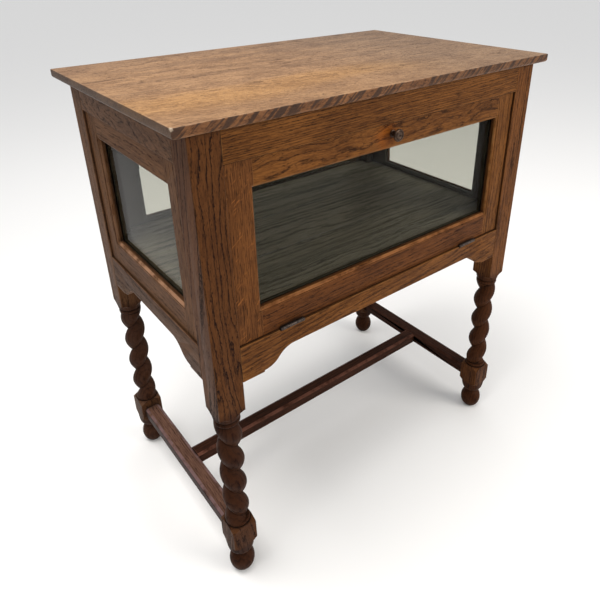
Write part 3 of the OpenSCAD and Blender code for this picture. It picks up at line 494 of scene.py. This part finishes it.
def oak(name, tone, grain, pith, lean=(0.0, 0.0), ring=0.0045, strength=0.7, flecks=0.0, swirl=0.0,
        waver=0.010, lines=0.0, short=1.0, middle=None, roughness=0.46, gloss=0.05, arris=0.6, worn=1.4,
        dirt_and_shade=0.85, edges=None, handled=None, faded=False, dark_below=None, stained_and_shaded=True):
    """A material for one timber. grain is the axis along it. pith is a point on the line of the log's middle:
    its two places across the timber, with middle as its place along it. lean is how far the timber turns away
    from that line, in degrees, both ways. ring, strength, flecks, swirl, waver and lines are for the figure
    group, and short makes all marks along the grain shorter. arris is how much of the edges is rubbed, and
    worn how much paler than the wood that is. edges tints the faces that don't look up or down: it is painted
    shade, which leaves the upward faces lighter as if lit from above. handled is a place where fingers have
    rubbed the wood warm, and faded lays the top's years over it. Below the height dark_below the wood takes a
    dark stain, and stained_and_shaded darkens what lies inside the case, with stain and painted shade."""
    material, tree, surface = new_material(name)
    place = add_node(tree, "TexCoord").outputs
    middle = LOG_MIDDLE[grain] if middle is None else middle
    log = add_node(tree, "Mapping", {
        "Vector": place["Object"], "Rotation": GRAIN_TURN[grain], "Location": (-middle, -pith[0], -pith[1]),
    })
    cut = add_node(tree, "Mapping", {
        "Vector": log.outputs[0], "Rotation": (0.0, radians(lean[0]), radians(lean[1])),
        "Scale": (short, 1, 1),
    })
    colors = TONES[tone]
    figure = place_group(tree, oak_figure, {
        "Vector": cut.outputs[0], "Pale": colors["pale"], "Deep": colors["deep"], "Pore": colors["pore"],
        "Ring width": ring, "Waver": waver, "Ring strength": strength, "Flecks": flecks, "Swirl": swirl,
        "Lines": lines,
    })
    rubbed = place_group(tree, wear, {
        "Color": figure.outputs["Color"], "Worn": [worn * k * c for k, c in zip(WORN_TINT, colors["pale"])],
        "Vector": place["Object"], "Normal": place["Normal"], "Amount": arris,
    })
    color = rubbed.outputs["Color"]
    # Painted shade: faces that don't look up or down are tinted darker than the upward faces, which seem lit
    # from above.
    if edges is not None:
        upward = add_node(tree, "SeparateXYZ", {0: place["Normal"]}).outputs["Z"]
        edge = ramp_value(tree, calc(tree, "ABSOLUTE", upward), 0.70, 0.92, 1.0, 0.0)
        color = tinted(tree, edge, color, edges)
    if handled is not None:
        away = add_node(tree, "VectorMath", {0: place["Object"], 1: handled}, operation="DISTANCE")
        uneven = noise(tree, scaled_vector(tree, place["Object"], (60, 60, 60)))
        away = calc(tree, "MULTIPLY_ADD", uneven, 0.03, away.outputs["Value"])
        color = tinted(tree, ramp_value(tree, away, *WARM_REACH, 1.0, 0.0), color, WARM_TINT)
    if faded:
        years = {"Color": color, "Vector": place["Object"], "Normal": place["Normal"]}
        color = place_group(tree, fading, years).outputs["Color"]
    if dark_below is not None:
        level = add_node(tree, "SeparateXYZ", {0: place["Object"]}).outputs["Z"]
        low = ramp_value(tree, level, dark_below, dark_below + ROPE_FADE, 1.0, 0.0)
        off_block = calc(tree, "ABSOLUTE", calc(tree, "SUBTRACT", level, BLOCK_LEVEL))
        low = calc(tree, "MULTIPLY", low, ramp_value(tree, off_block, *BLOCK_HALF, 0.45))
        stain = blend_colors(tree, 0.6, color, TONES["dark"]["deep"])
        stain = blend_colors(tree, 1.0, stain, ROPE_TINT, "MULTIPLY")
        color = blend_colors(tree, low, color, stain)
    # Stain and painted shade on the wood that lies inside the case.
    if stained_and_shaded:
        color = place_group(tree, inside, {"Color": color, "Vector": place["Object"]}).outputs["Color"]
    # Dirt and painted shade in the corners, from the corner group.
    dirty_and_shaded = place_group(tree, grime_and_shade, {"Color": color, "Amount": dirt_and_shade})
    rough = calc(tree, "MULTIPLY_ADD", dirty_and_shaded.outputs["Mask"], 0.25, figure.outputs["Roughness"])
    bump = add_node(tree, "Bump", {"Height": figure.outputs["Height"], "Strength": 0.35, "Distance": 0.0004})
    tree.links.new(dirty_and_shaded.outputs["Color"], surface.inputs["Base Color"])
    tree.links.new(calc(tree, "ADD", rough, roughness - 0.08), surface.inputs["Roughness"])
    tree.links.new(bump.outputs[0], surface.inputs["Normal"])
    surface.inputs["Specular IOR Level"].default_value = gloss
    return material


print("oak in", len(TONES), "tones")

# %% [markdown]
# ## Timbers
#
# The CAD already has the right shape for the rails, aprons, frames and stretchers, down to their tenons.
# Only their edges are too crisp for old oak. We copy each mesh, merge its loose triangles, clear the edges
# that lie flat, and bevel what is left sharp and standing out. A Bevel modifier would be shorter to write,
# but it can't leave out the inner corners, which stay sharp in real joinery.

# %% Softening a timber
SAME_PLACE = 0.002 * MM  # corners of loose triangles that are as near as this are one


def finish_mesh(obj, bm, sharp_from=20):
    """Writes bm to obj, shaded smooth except over edges sharper than sharp_from degrees."""
    for face in bm.faces:
        face.smooth = True
    bm.to_mesh(obj.data)
    bm.free()
    obj.data.set_sharp_from_angle(angle=radians(sharp_from))


def new_piece(name, body, bm, material, slot, *stands_for, sharp_from=20):
    """Makes an object of bm, lets it ride on a body and hides the CAD nodes that it stands for."""
    piece = bpy.data.objects.new(name, bpy.data.meshes.new(name))
    bpy.context.scene.collection.objects.link(piece)
    finish_mesh(piece, bm, sharp_from)
    piece.data.materials.append(material)
    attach(piece, body)
    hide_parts(*stands_for)
    return piece


def clean_copy(node):
    """A bmesh of a CAD node's mesh, merged and without its flat edges."""
    bm = bmesh.new()
    bm.from_mesh(frame["nodes"][node].data)
    bmesh.ops.remove_doubles(bm, verts=bm.verts, dist=SAME_PLACE)
    bmesh.ops.dissolve_limit(bm, angle_limit=radians(0.5), verts=bm.verts, edges=bm.edges)
    return bm


def round_edges(bm, edges, width, steps):
    """Bevels the given edges, all with the same round profile."""
    bmesh.ops.bevel(bm, geom=edges, offset=width, offset_type="OFFSET", segments=steps, profile=0.5,
                    affect="EDGES", material=-1, clamp_overlap=False)


def soften(bm, width, sharpness=50):
    """Bevels each edge that stands out by more than sharpness degrees."""
    proud = [e for e in bm.edges if e.is_manifold and e.is_convex and e.calc_face_angle() > radians(sharpness)]
    round_edges(bm, proud, width, 2)
    return bm


def slot_of(node):
    """The record's material slot of a CAD node."""
    return next(p["material_slot"] for p in frame["record"]["subparts"] if p["node"] == node)


def timber(node, width, material):
    """Stands a softened copy in for one CAD timber."""
    softened = soften(clean_copy(node), width)
    return new_piece(node + "_timber", BODY_OF[node], softened, material, slot_of(node), node)


RAIL_ARRIS, FRAME_ARRIS = 0.9 * MM, 0.35 * MM
print("arrises, mm:", RAIL_ARRIS / MM, FRAME_ARRIS / MM)

# %% [markdown]
# ### The stand's rails and aprons
#
# The front rail shows straight grain. The front apron is lively, with broad arches. The left side is
# greyer and darker than the right: painted shade and a painted grey sheen, as that side gets less light.

# %% Rails and aprons
def rail(node, *look, **more):
    """One timber of the stand, in an oak of its own."""
    return timber(node, RAIL_ARRIS, oak(node, *look, **more))


rail("top_rail_front", "gold", "X", (-0.230, 0.885), (1.2, 0.5), ring=0.0042, lines=0.75, strength=0.6)
rail("top_rail_back", "brown", "X", (0.300, 0.800), (1.0, 0.5))
rail("top_rail_left", "grey", "Y", (0.375, 0.800), (9.0, 14.0), ring=0.010, strength=0.5, middle=-0.06)
rail("top_rail_right", "brown", "Y", (-0.300, 0.860), (1.5, 1.0))
rail("apron_front", "gold", "X", (-0.160, 0.440), (2.2, 3.0), ring=0.006)
rail("apron_back", "brown", "X", (0.290, 0.430), (1.5, 2.0))
# The left apron's upright faces get painted shade through edges.
rail("apron_left", "grey", "Y", (0.460, 0.470), (1.0, 0.6), strength=0.35, arris=0.9, gloss=0.03,
     edges=(0.78, 0.76, 0.74, 1))
rail("apron_right", "brown", "Y", (-0.290, 0.500), (1.0, 1.6))
print("rails and aprons done")

# %% [markdown]
# ### The stretchers
#
# The low rails are kicked, mopped round and seldom polished: dark red-brown, with worn top edges.

# %% Stretchers
# The left stretcher's sides get painted shade through edges, so its worn top stands out lighter.
rail("stretcher_left", "mopped", "Y", (0.37, 0.14), (1.0, 0.8), strength=0.5, arris=1.0,
     edges=(0.34, 0.34, 0.38, 1))
rail("stretcher_right", "dark", "Y", (-0.30, 0.07), (1.0, 0.5), arris=0.9)
rail("stretcher_centre", "dark", "X", (0.03, 0.15), (0.6, 0.5), arris=1.0, worn=2.6)
print("stretchers done")

# %% [markdown]
# ### The glazed frames
#
# Every frame has two stiles that run its full height and two rails between them. The drop front is the
# showpiece: its top rail has a swirl of figure round the knob, rubbed warm by fingers, and its left stile
# is quarter-sawn, with pale flecks.

# %% Glazed frames
KNOB_PLACE = sum(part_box("knob"), Vector()) / 2 - Vector((0.012, 0, 0))
PITH_DEPTH = 0.055  # how far from the face of a side frame the pith of its timbers lies

FLAP_WOOD = {
    "flap_stile_left": oak("flap_stile_left", "brown", "Z", (-0.200, 0.330), (0.6, 0.2), ring=0.0028,
                           strength=0.35, flecks=1.3),
    "flap_stile_right": oak("flap_stile_right", "gold", "Z", (-0.300, -0.330), (1.2, 0.6), ring=0.004),
    "flap_top_rail": oak("flap_top_rail", "gold", "X", (-0.185, 0.760), (1.5, 1.0), ring=0.0065,
                         strength=0.6, swirl=0.022, lines=0.5, handled=KNOB_PLACE),
    # The bottom rail's upright faces get painted shade through edges, leaving its upper faces lighter as if
    # lit.
    "flap_bottom_rail": oak("flap_bottom_rail", "brown", "X", (-0.290, 0.560), (0.6, 0.3), ring=0.004,
                            strength=0.5, worn=2.4, arris=0.8, edges=(0.80, 0.74, 0.66, 1)),
}
for node, wood in FLAP_WOOD.items():
    timber(node, FRAME_ARRIS, wood)

# The left side's frames are in the grey tone, which carries painted shade and sheen.
SIDES = {"left": ("grey", "Y", -0.353), "right": ("brown", "Y", 0.353), "back": ("brown", "X", 0.2195)}
for side, (tone, grain, face) in SIDES.items():
    depth = PITH_DEPTH if side == "left" else -PITH_DEPTH
    for end, slide in zip(("left", "right") if side == "back" else ("front", "back"), (0.05, -0.04)):
        wood = oak(f"{side}_stile_{end}", tone, "Z", (face + depth, slide), (0.7, 1.0), ring=0.004,
                   strength=0.3, gloss=0.03)
        timber(f"{side}_stile_{end}", FRAME_ARRIS, wood)
    for place, height, worn in (("top", 0.80, 1.2), ("bottom", 0.50, 2.6)):
        pith = (-face + depth if grain == "Y" else face + depth, height)
        wood = oak(f"{side}_{place}_rail", tone, grain, pith, (0.8, 0.5), ring=0.004, strength=0.3,
                   worn=worn, arris=1.0, gloss=0.03)
        timber(f"{side}_frame_{place}_rail", FRAME_ARRIS, wood)
print("frames done")

# %% [markdown]
# ### The beads and the inside
#
# Thin beads hold the glass in from behind. The floor of the case is dark, with a dull shine, and the
# bearers under it are dark too, as their front edge shows when the front is down. Beads and bearers share
# one dark tone, which is stain with painted shade, as little light reaches them. The glue blocks under
# the top are plain softwood that nobody was meant to see.

# %% Beads, floor and blocks
BEAD_ARRIS = FLOOR_ARRIS = 0.5 * MM
FLOOR_LOOK = dict(ring=0.010, strength=0.8, swirl=0.016, lines=0.6, short=0.6, roughness=0.42, gloss=0.10,
                  dirt_and_shade=0.5, stained_and_shaded=False)

for side in ("flap", "left", "right", "back"):
    wood = oak(f"{side}_bead_wood", "inside", "X", (0.0, 0.9), (1.0, 2.0), ring=0.003, dirt_and_shade=0.2, stained_and_shaded=False)
    timber(f"{side}_beads", BEAD_ARRIS, wood)
for index, board in enumerate(("front", "middle", "back")):
    pith = (-0.20 + 0.17 * index, 0.50 - 0.02 * index)
    wood = oak(f"floor_{board}", "floor", "X", pith, (1.2 - index, 1.5), **FLOOR_LOOK)
    timber(f"floor_board_{board}", FLOOR_ARRIS, wood)
dark_oak = oak("bearer_wood", "inside", "X", (0.0, 0.5), (1.0, 1.5), stained_and_shaded=False)
timber("floor_bearers", RAIL_ARRIS, dark_oak)
pine = oak("plain_pine", "pine", "X", (0.02, 0.5), (1.0, 1.5), ring=0.006, strength=0.4, roughness=0.6,
           stained_and_shaded=False)
timber("glue_blocks", RAIL_ARRIS, pine)
print("inside done")

# %% [markdown]
# ## The top
#
# Three boards glued edge to edge. Only the outer edges are worked: rounded generously below and a little
# above. Each board starts as a cube, which is stretched to its place, and only the edges that lie on the
# outside of the whole top are bevelled, so that the joints between the boards stay tight.

# %% Top boards
UNDER_ROUND, UPPER_ROUND = 5 * MM, 1.6 * MM
TINY = 0.01 * MM


def squared(size, middle=(0, 0, 0)):
    """A bmesh of a squared piece: a cube that is stretched to its size and moved to its place."""
    bm = bmesh.new()
    bmesh.ops.create_cube(bm, size=1)
    bmesh.ops.scale(bm, vec=size, verts=bm.verts)
    bmesh.ops.translate(bm, vec=middle, verts=bm.verts)
    return bm


def top_board(node, material):
    """One board of the top, in the CAD board's place."""
    low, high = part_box(node)
    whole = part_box("top_board_front")[0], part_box("top_board_back")[1]
    bm = squared(high - low, (low + high) / 2)

    def on_outside(edge):
        middle = (edge.verts[0].co + edge.verts[1].co) / 2
        return any(abs(middle[axis] - end[axis]) < TINY for axis in (0, 1) for end in whole)

    def level(edge, height):
        return all(abs(v.co.z - height) < TINY for v in edge.verts)

    for height, radius, steps in ((low.z, UNDER_ROUND, 6), (high.z, UPPER_ROUND, 3)):
        round_edges(bm, [e for e in bm.edges if level(e, height) and on_outside(e)], radius, steps)
    return new_piece(node + "_timber", "case", bm, material, slot_of(node), node, sharp_from=35)


# On the top, edges puts painted shade on the boards' sides, against the upper face, which is painted light.
TOP_LOOK = dict(strength=0.35, waver=0.02, short=2.4, roughness=0.44, gloss=0.14, arris=0.4, dirt_and_shade=0.6,
                edges=(0.56, 0.42, 0.32, 1), faded=True, stained_and_shaded=False)
top_board("top_board_front", oak("top_front", "top", "X", (-0.120, 0.815), (1.0, 4.0), **TOP_LOOK))
top_board("top_board_middle", oak("top_middle", "top", "X", (0.020, 0.780), (-0.6, 2.0), **TOP_LOOK))
top_board("top_board_back", oak("top_back", "top", "X", (0.200, 0.800), (0.7, -2.0), **TOP_LOOK))
print("top done")

# %% [markdown]
# ## The legs
#
# A turner makes each leg from one square post. The squares stay where rails join, the foot and the collars
# are turned round, and the rope is carved by hand. We do the same. The turned shape is a half outline spun
# round the Z axis, cut to the square of the post. The rope is a pear-shaped ring that is screwed upwards:
# the spin operator turns and lifts it at once. Its pinched side leaves the sharp valley that a carver's
# tools leave.

# %% Turning and twisting
LEG_LOW, LEG_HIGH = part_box("leg_front_left")
POST = LEG_HIGH.x - LEG_LOW.x
POST_TOP = LEG_HIGH.z
HALF = POST / 2
POST_ARRIS = 1.2 * MM
TWIST_FOOT, TWIST_TOP = 137 * MM, 362 * MM
TWIST_PITCH = 55 * MM
ROPE_OUT, ROPE_IN = 22.0 * MM, 12.2 * MM
ROPE_SUNK = 1 * MM  # how far each end of the rope goes into the turned part it meets
RING_POINTS, STEPS_PER_TURN = 56, 44
LATHE_STEPS = 72


def lathe(outline):
    """Spins a half outline, given as (radius, height), once round the Z axis."""
    bm = bmesh.new()
    points = [bm.verts.new((r, 0, z)) for r, z in outline]
    edges = [bm.edges.new(pair) for pair in zip(points, points[1:])]
    bmesh.ops.spin(bm, geom=points + edges, cent=(0, 0, 0), axis=(0, 0, 1), angle=tau, steps=LATHE_STEPS,
                   use_merge=True)
    bmesh.ops.remove_doubles(bm, verts=bm.verts, dist=1e-6)
    bmesh.ops.recalc_face_normals(bm, faces=bm.faces)
    return bm


def curve(centre, radii, start, end, steps):
    """Points (radius, height) along an elliptical arc, with angles in degrees."""
    angles = [radians(start + (end - start) * i / steps) for i in range(steps + 1)]
    return [(centre[0] + radii[0] * cos(a), centre[1] + radii[1] * sin(a)) for a in angles]


def rope(hand, start_angle):
    """The carved rope: a pinched ring, screwed upwards. hand is 1 or -1."""
    bm = bmesh.new()
    made = bmesh.ops.create_circle(bm, cap_ends=True, segments=RING_POINTS, radius=1)
    for vert in made["verts"]:
        angle = Vector((vert.co.x, vert.co.y)).angle(Vector((1, 0)), 0)
        vert.co *= ROPE_IN + (ROPE_OUT - ROPE_IN) * abs(cos(angle / 2)) ** 0.9
    height = TWIST_TOP - TWIST_FOOT + 2 * ROPE_SUNK
    turns = height / TWIST_PITCH
    bmesh.ops.rotate(bm, verts=bm.verts, matrix=Matrix.Rotation(start_angle, 3, "Z"))
    bmesh.ops.translate(bm, verts=bm.verts, vec=(0, 0, TWIST_FOOT - ROPE_SUNK))
    steps = round(turns * STEPS_PER_TURN)
    bmesh.ops.spin(bm, geom=bm.verts[:] + bm.edges[:] + bm.faces[:], cent=(0, 0, 0), axis=(0, 0, 1),
                   dvec=(0, 0, height / steps), angle=hand * turns * tau, steps=steps)
    bmesh.ops.recalc_face_normals(bm, faces=bm.faces)
    return bm


print("post, mm:", round(POST / MM, 1), "rope from", round(TWIST_FOOT / MM), "to", round(TWIST_TOP / MM))

# %% The leg's outlines
def foot_outline():
    """Foot, neck, block and lower collar as one half outline."""
    foot_r, foot_h, flat_r, neck = HALF, 47 * MM, 9.5 * MM, 14.5 * MM
    low, high = -acos(flat_r / foot_r), acos(neck / foot_r)
    squash = foot_h / (sin(high) - sin(low))
    ball = [(foot_r * cos(a), squash * (sin(a) - sin(low)))
            for a in [low + (high - low) * i / 22 for i in range(23)]]
    corner = HALF * sqrt(2) + MM
    return (
        [(0, 0)] + ball
        + [(neck, 52.5 * MM), (neck + 0.5 * MM, 54 * MM), (neck + 1.6 * MM, 54.6 * MM)]
        + curve((neck + 1.6 * MM, 77 * MM), (9.2 * MM, 22 * MM), -88, -14, 9)
        + [(26.0 * MM, 78 * MM), (corner, 86 * MM), (corner, 122 * MM)]
        + [(HALF + 0.5 * MM, 131 * MM), (HALF - 1.4 * MM, 130.8 * MM)]
        + curve((18.1 * MM, 134 * MM), (3.4 * MM, 3.2 * MM), -80, 88, 10)
        + [(0, TWIST_FOOT)]
    )


def collar_outline():
    """Upper collar, shoulder and square post as one half outline."""
    corner = HALF * sqrt(2) + MM
    return (
        [(0, TWIST_TOP), (20.6 * MM, TWIST_TOP)]
        + curve((18.0 * MM, 366.5 * MM), (3.7 * MM, 4.5 * MM), -60, 70, 8)
        + [(19.9 * MM, 371.4 * MM), (20.0 * MM, 373.4 * MM), (22.2 * MM, 374.4 * MM), (22.9 * MM, 377 * MM)]
        + curve((corner + 1 * MM, 378 * MM), (corner - 22 * MM, 10 * MM), 180, 100, 8)
        + [(corner, 388 * MM), (corner, POST_TOP), (0, POST_TOP)]
    )


def square_post(low, high):
    """The squared timber between two heights, its long edges rounded."""
    bm = squared((POST, POST, high - low), (0, 0, (low + high) / 2))
    upright = [e for e in bm.edges if abs(e.verts[0].co.z - e.verts[1].co.z) > 10 * MM]
    round_edges(bm, upright, POST_ARRIS, 3)
    return bm


def loose_object(name, bm):
    """An object for a bmesh that another piece is cut with."""
    obj = bpy.data.objects.new(name, bpy.data.meshes.new(name))
    bm.to_mesh(obj.data)
    bm.free()
    bpy.context.scene.collection.objects.link(obj)
    return obj


def combined(base, tool, operation):
    """A bmesh of base and tool after a Boolean. Both objects are removed."""
    cut = base.modifiers.new("cut", "BOOLEAN")
    cut.object, cut.operation, cut.solver = tool, operation, "EXACT"
    result = bpy.data.meshes.new_from_object(base.evaluated_get(bpy.context.evaluated_depsgraph_get()))
    bm = bmesh.new()
    bm.from_mesh(result)
    for item in (base.data, tool.data, result):
        bpy.data.meshes.remove(item)
    return bm


def turned_part(outline):
    """A turned outline cut to the square of the post."""
    square = square_post(outline[0][1], outline[-1][1])
    return combined(loose_object("turning", lathe(outline)), loose_object("square", square), "INTERSECT")


def pour_in(bm, part):
    """Adds the shell of one bmesh to another, and frees it."""
    shell = bpy.data.meshes.new("shell")
    part.to_mesh(shell)
    part.free()
    bm.from_mesh(shell)
    bpy.data.meshes.remove(shell)


# %% [markdown]
# Rope on the left of the case winds one way and on the right the other, front to back crosswise, so that
# each pair mirrors. The grain of each leg runs upwards, through the squares and the turning alike.

# %% Four legs
DARK_BELOW = 375 * MM  # the rope and the foot are stained darker than the post

LEG_LOOKS = {
    # leg: hand of the rope, its angle at the foot in degrees, upper tone, pith of the post, lean, ring width,
    # strength of the ring lines
    "leg_front_left": (-1, 170, "post", (-0.219, 0.291), (1.0, 8.5), 0.0085, 1.0),
    "leg_front_right": (1, 41, "brown", (-0.170, -0.300), (1.2, 1.6), 0.0060, 0.45),
    # The back left leg's post is in the grey tone, with its painted shade and sheen.
    "leg_back_left": (1, 237, "grey", (-0.300, 0.370), (1.0, 0.8), 0.0060, 0.8),
    "leg_back_right": (-1, -57, "post", (0.240, -0.300), (1.2, 1.0), 0.0060, 0.8),
}


def leg(node, hand, degrees, tone, pith, lean, ring, lines):
    """A whole leg: foot and block, rope, collar and post."""
    low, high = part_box(node)
    middle = ((low.x + high.x) / 2, (low.y + high.y) / 2, 0)
    bm = turned_part(foot_outline())
    for part in (turned_part(collar_outline()), rope(hand, radians(degrees))):
        pour_in(bm, part)
    bmesh.ops.translate(bm, vec=middle, verts=bm.verts)
    wood = oak(node, tone, "Z", pith, lean, ring=ring, lines=lines, arris=0.45, gloss=0.04,
               dark_below=DARK_BELOW)
    return new_piece(node + "_turned", "case", bm, wood, slot_of(node), node, sharp_from=32)


for node, look in LEG_LOOKS.items():
    print(node, len(leg(node, *look).data.polygons), "faces")

# %% [markdown]
# ## Glass
#
# Plate glass with a bevelled face, slightly grey with age. It's the CAD's own shape. A flat pane hardly
# bends what is seen through it, so its IOR is near one, and a thin coat gives it its reflections. That way
# we can set them apart from the see-through part: a real pane mirrors a whole room, and here there's only a
# white floor. The left pane faces the brightest part of the room, so its coat is the strongest.
#
# A path tracer is slow to find a lamp through glass, so rays that look for one meet a clear shader instead:
# the Light Path node tells them apart. Rays that left a wooden surface get it too, or the light inside the
# case would be counted twice.

# %% Glass
GLASS_GREY, CLEAR_GREY = (0.70, 0.70, 0.65, 1), (0.86, 0.86, 0.82, 1)
GLASS_REFLECTION = {"flap": 0.10, "left": 0.26, "right": 0.10, "back": 0.10}


def plate_glass(name, reflection):
    """Old plate glass. reflection is the weight of the coat that mirrors the room."""
    material, tree, body = new_material(name)
    settings = {
        "Base Color": GLASS_GREY, "Transmission Weight": 1.0, "Roughness": 0.0, "IOR": 1.02,
        "Coat Weight": reflection, "Coat Roughness": 0.0, "Coat IOR": 1.5,
    }
    for key, value in settings.items():
        body.inputs[key].default_value = value
    clear = add_node(tree, "BsdfTransparent", {"Color": CLEAR_GREY})
    rays = add_node(tree, "LightPath").outputs
    seen = add_node(tree, "MixShader", {0: rays["Is Diffuse Ray"], 1: body.outputs[0], 2: clear.outputs[0]})
    either = add_node(tree, "MixShader", {0: rays["Is Shadow Ray"], 1: seen.outputs[0], 2: clear.outputs[0]})
    tree.links.new(either.outputs[0], tree.nodes["Material Output"].inputs["Surface"])
    return material


def dress(node, material):
    """Gives a CAD node a new material in place of its own."""
    mesh = frame["nodes"][node].data
    mesh.materials.clear()
    mesh.materials.append(material)


for side, reflection in GLASS_REFLECTION.items():
    dress(side + "_glass", plate_glass(side + "_plate_glass", reflection))
print("glass done")

# %% [markdown]
# ## Ironwork
#
# The hinges are dark old iron. The knob is turned bronze gone nearly black, and the catch and the screws
# are plain steel. One function makes all three: a base colour, spots of a second colour, and roughness that
# varies. Spots painted by hand would need an image, and noise does the same in a few nodes.

# %% Metals
def old_metal(name, color, spots, roughness, metallic=0.85):
    """A darkened metal with blotches of a second colour."""
    material, tree, surface = new_material(name)
    place = add_node(tree, "TexCoord").outputs["Object"]
    blotches = noise(tree, scaled_vector(tree, place, (260, 260, 260)), 4.0, 0.65)
    share = ramp_value(tree, blotches, 0.42, 0.66)
    base = blend_colors(tree, share, color, spots)
    # Dirt and painted shade in the metal's corners, from the corner group.
    dirty_and_shaded = place_group(tree, grime_and_shade, {"Color": base, "Reach": 0.004, "Amount": 0.8})
    tree.links.new(dirty_and_shaded.outputs["Color"], surface.inputs["Base Color"])
    tree.links.new(ramp_value(tree, blotches, 0.3, 0.7, roughness - 0.08, roughness + 0.15),
                   surface.inputs["Roughness"])
    grain = noise(tree, scaled_vector(tree, place, (900, 900, 900)), 3.0)
    bump = add_node(tree, "Bump", {"Height": grain, "Strength": 0.2, "Distance": 0.0002})
    tree.links.new(bump.outputs[0], surface.inputs["Normal"])
    surface.inputs["Metallic"].default_value = metallic
    return material


iron = old_metal("hinge_iron", (0.060, 0.047, 0.040, 1), (0.024, 0.018, 0.015, 1), 0.46)
bronze = old_metal("knob_bronze", (0.062, 0.037, 0.024, 1), (0.024, 0.014, 0.010, 1), 0.38)
steel = old_metal("plain_steel", (0.30, 0.27, 0.24, 1), (0.12, 0.08, 0.06, 1), 0.45)
for side in ("left", "right"):
    dress(f"hinge_{side}_apron_leaf", iron)
    dress(f"hinge_{side}_flap_leaf", iron)
dress("hinge_pins", iron)
for node in ("latch_tongue", "latch_nut", "latch_keeper"):
    dress(node, steel)
print("metals done")

# %% [markdown]
# ## Screws
#
# A hand-cut countersunk screw has a slot across its head. We turn one, cut the slot with a thin box, and
# set a copy at each hole, with its slot turned another way each time. The places come from the CAD's
# screws. Each of those is a shell of its own, and its box says where it sits and how long it is.

# %% Slotted screws
SLOT_WIDTH, SLOT_DEPTH = 0.8 * MM, 0.8 * MM


def screw_places(node):
    """The box of every screw in a CAD node, as its low and its high corner."""
    bm = bmesh.new()
    bm.from_mesh(frame["nodes"][node].data)
    bmesh.ops.remove_doubles(bm, verts=bm.verts, dist=SAME_PLACE)
    left, found = set(bm.verts), []
    while left:
        reach = [left.pop()]
        group = list(reach)
        while reach:
            for edge in reach.pop().link_edges:
                for vert in edge.verts:
                    if vert in left:
                        left.remove(vert)
                        reach.append(vert)
                        group.append(vert)
        found.append([Vector([pick(v.co[axis] for v in group) for axis in range(3)]) for pick in (min, max)])
    bm.free()
    return sorted(found, key=lambda pair: tuple(pair[0]))


def slotted_screw(length, slot_turn):
    """A screw with its head at the origin, pointing along +Z."""
    head, shank, sink = 2.8 * MM, 1.4 * MM, 1.4 * MM
    outline = [(0, 0), (head - 0.1 * MM, 0), (head, 0.12 * MM), (shank, sink), (shank, length - 3 * MM),
               (0.3 * MM, length), (0, length)]
    cutter = squared((3 * head, SLOT_WIDTH, 2 * SLOT_DEPTH))
    bmesh.ops.rotate(cutter, verts=cutter.verts, matrix=Matrix.Rotation(slot_turn, 3, "Z"))
    return combined(loose_object("screw", lathe(outline)), loose_object("slot", cutter), "DIFFERENCE")


def screws(node, towards):
    """Slotted screws in the places of a CAD node's. towards is the way their points look."""
    whole = bmesh.new()
    turn = Vector((0, 0, 1)).rotation_difference(Vector(towards)).to_matrix()
    for index, (low, high) in enumerate(screw_places(node)):
        length = max(high - low)
        head = (low + high) / 2 - Vector(towards) * length / 2
        one = slotted_screw(length, radians(25 + 47 * index))
        bmesh.ops.rotate(one, verts=one.verts, matrix=turn)
        bmesh.ops.translate(one, verts=one.verts, vec=head)
        pour_in(whole, one)
    return new_piece(node + "_slotted", BODY_OF[node], whole, steel, slot_of(node), node, sharp_from=30)


screws("hinge_apron_screws", (0, 0, -1))
screws("hinge_flap_screws", (0, 0, 1))
screws("keeper_screws", (0, -1, 0))
print("screws done")

# %% [markdown]
# ## The knob
#
# A small turned knob with a ringed face and a dimple in the middle. It's a half outline spun once, with its
# axis along Y, and its spindle goes through the rail to the catch.

# %% Knob
def knob_outline(out, back):
    """Spindle, shank and ringed disc, with the face at out and the spindle's end at back."""
    spindle, shank, rim = 3.0 * MM, 4.6 * MM, 10.2 * MM
    ring = 6.3 * MM
    return (
        [(0, back), (spindle - 0.4 * MM, back), (spindle, back + 0.4 * MM), (spindle, 0.2 * MM)]
        + [(shank + 1.2 * MM, 0.2 * MM), (shank + 1.2 * MM, 1.2 * MM), (shank, 1.8 * MM)]
        + curve((shank + 1.5 * MM, out - 8 * MM), (2.3 * MM, 4.5 * MM), 215, 125, 8)
        + curve((rim - 1.6 * MM, out - 2.4 * MM), (1.6 * MM, 2.0 * MM), -75, 80, 9)
        + [(ring + 1.6 * MM, out - 0.2 * MM)]
        + curve((ring + 0.6 * MM, out - 0.3 * MM), (0.9 * MM, 0.8 * MM), 0, -180, 6)
        + curve((ring - 2.2 * MM, out - 0.5 * MM), (1.7 * MM, 0.5 * MM), 10, 170, 6)
        + curve((1.0 * MM, out - 0.5 * MM), (1.0 * MM, 0.8 * MM), 0, -90, 5)
        + [(0, out - 1.3 * MM)]
    )


knob_low, knob_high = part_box("knob")
flap_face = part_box("flap_top_rail")[0].y
knob_bm = lathe(knob_outline(flap_face - knob_low.y, flap_face - knob_high.y))
bmesh.ops.rotate(knob_bm, verts=knob_bm.verts, matrix=Matrix.Rotation(pi / 2, 3, "X"))
knob_middle = (knob_low + knob_high) / 2
bmesh.ops.translate(knob_bm, verts=knob_bm.verts, vec=(knob_middle.x, flap_face, knob_middle.z))
new_piece("knob_turned", "latch", knob_bm, bronze, "knob_bronze", "knob", sharp_from=35)
print("knob proud by", round((flap_face - knob_low.y) / MM, 1), "mm")
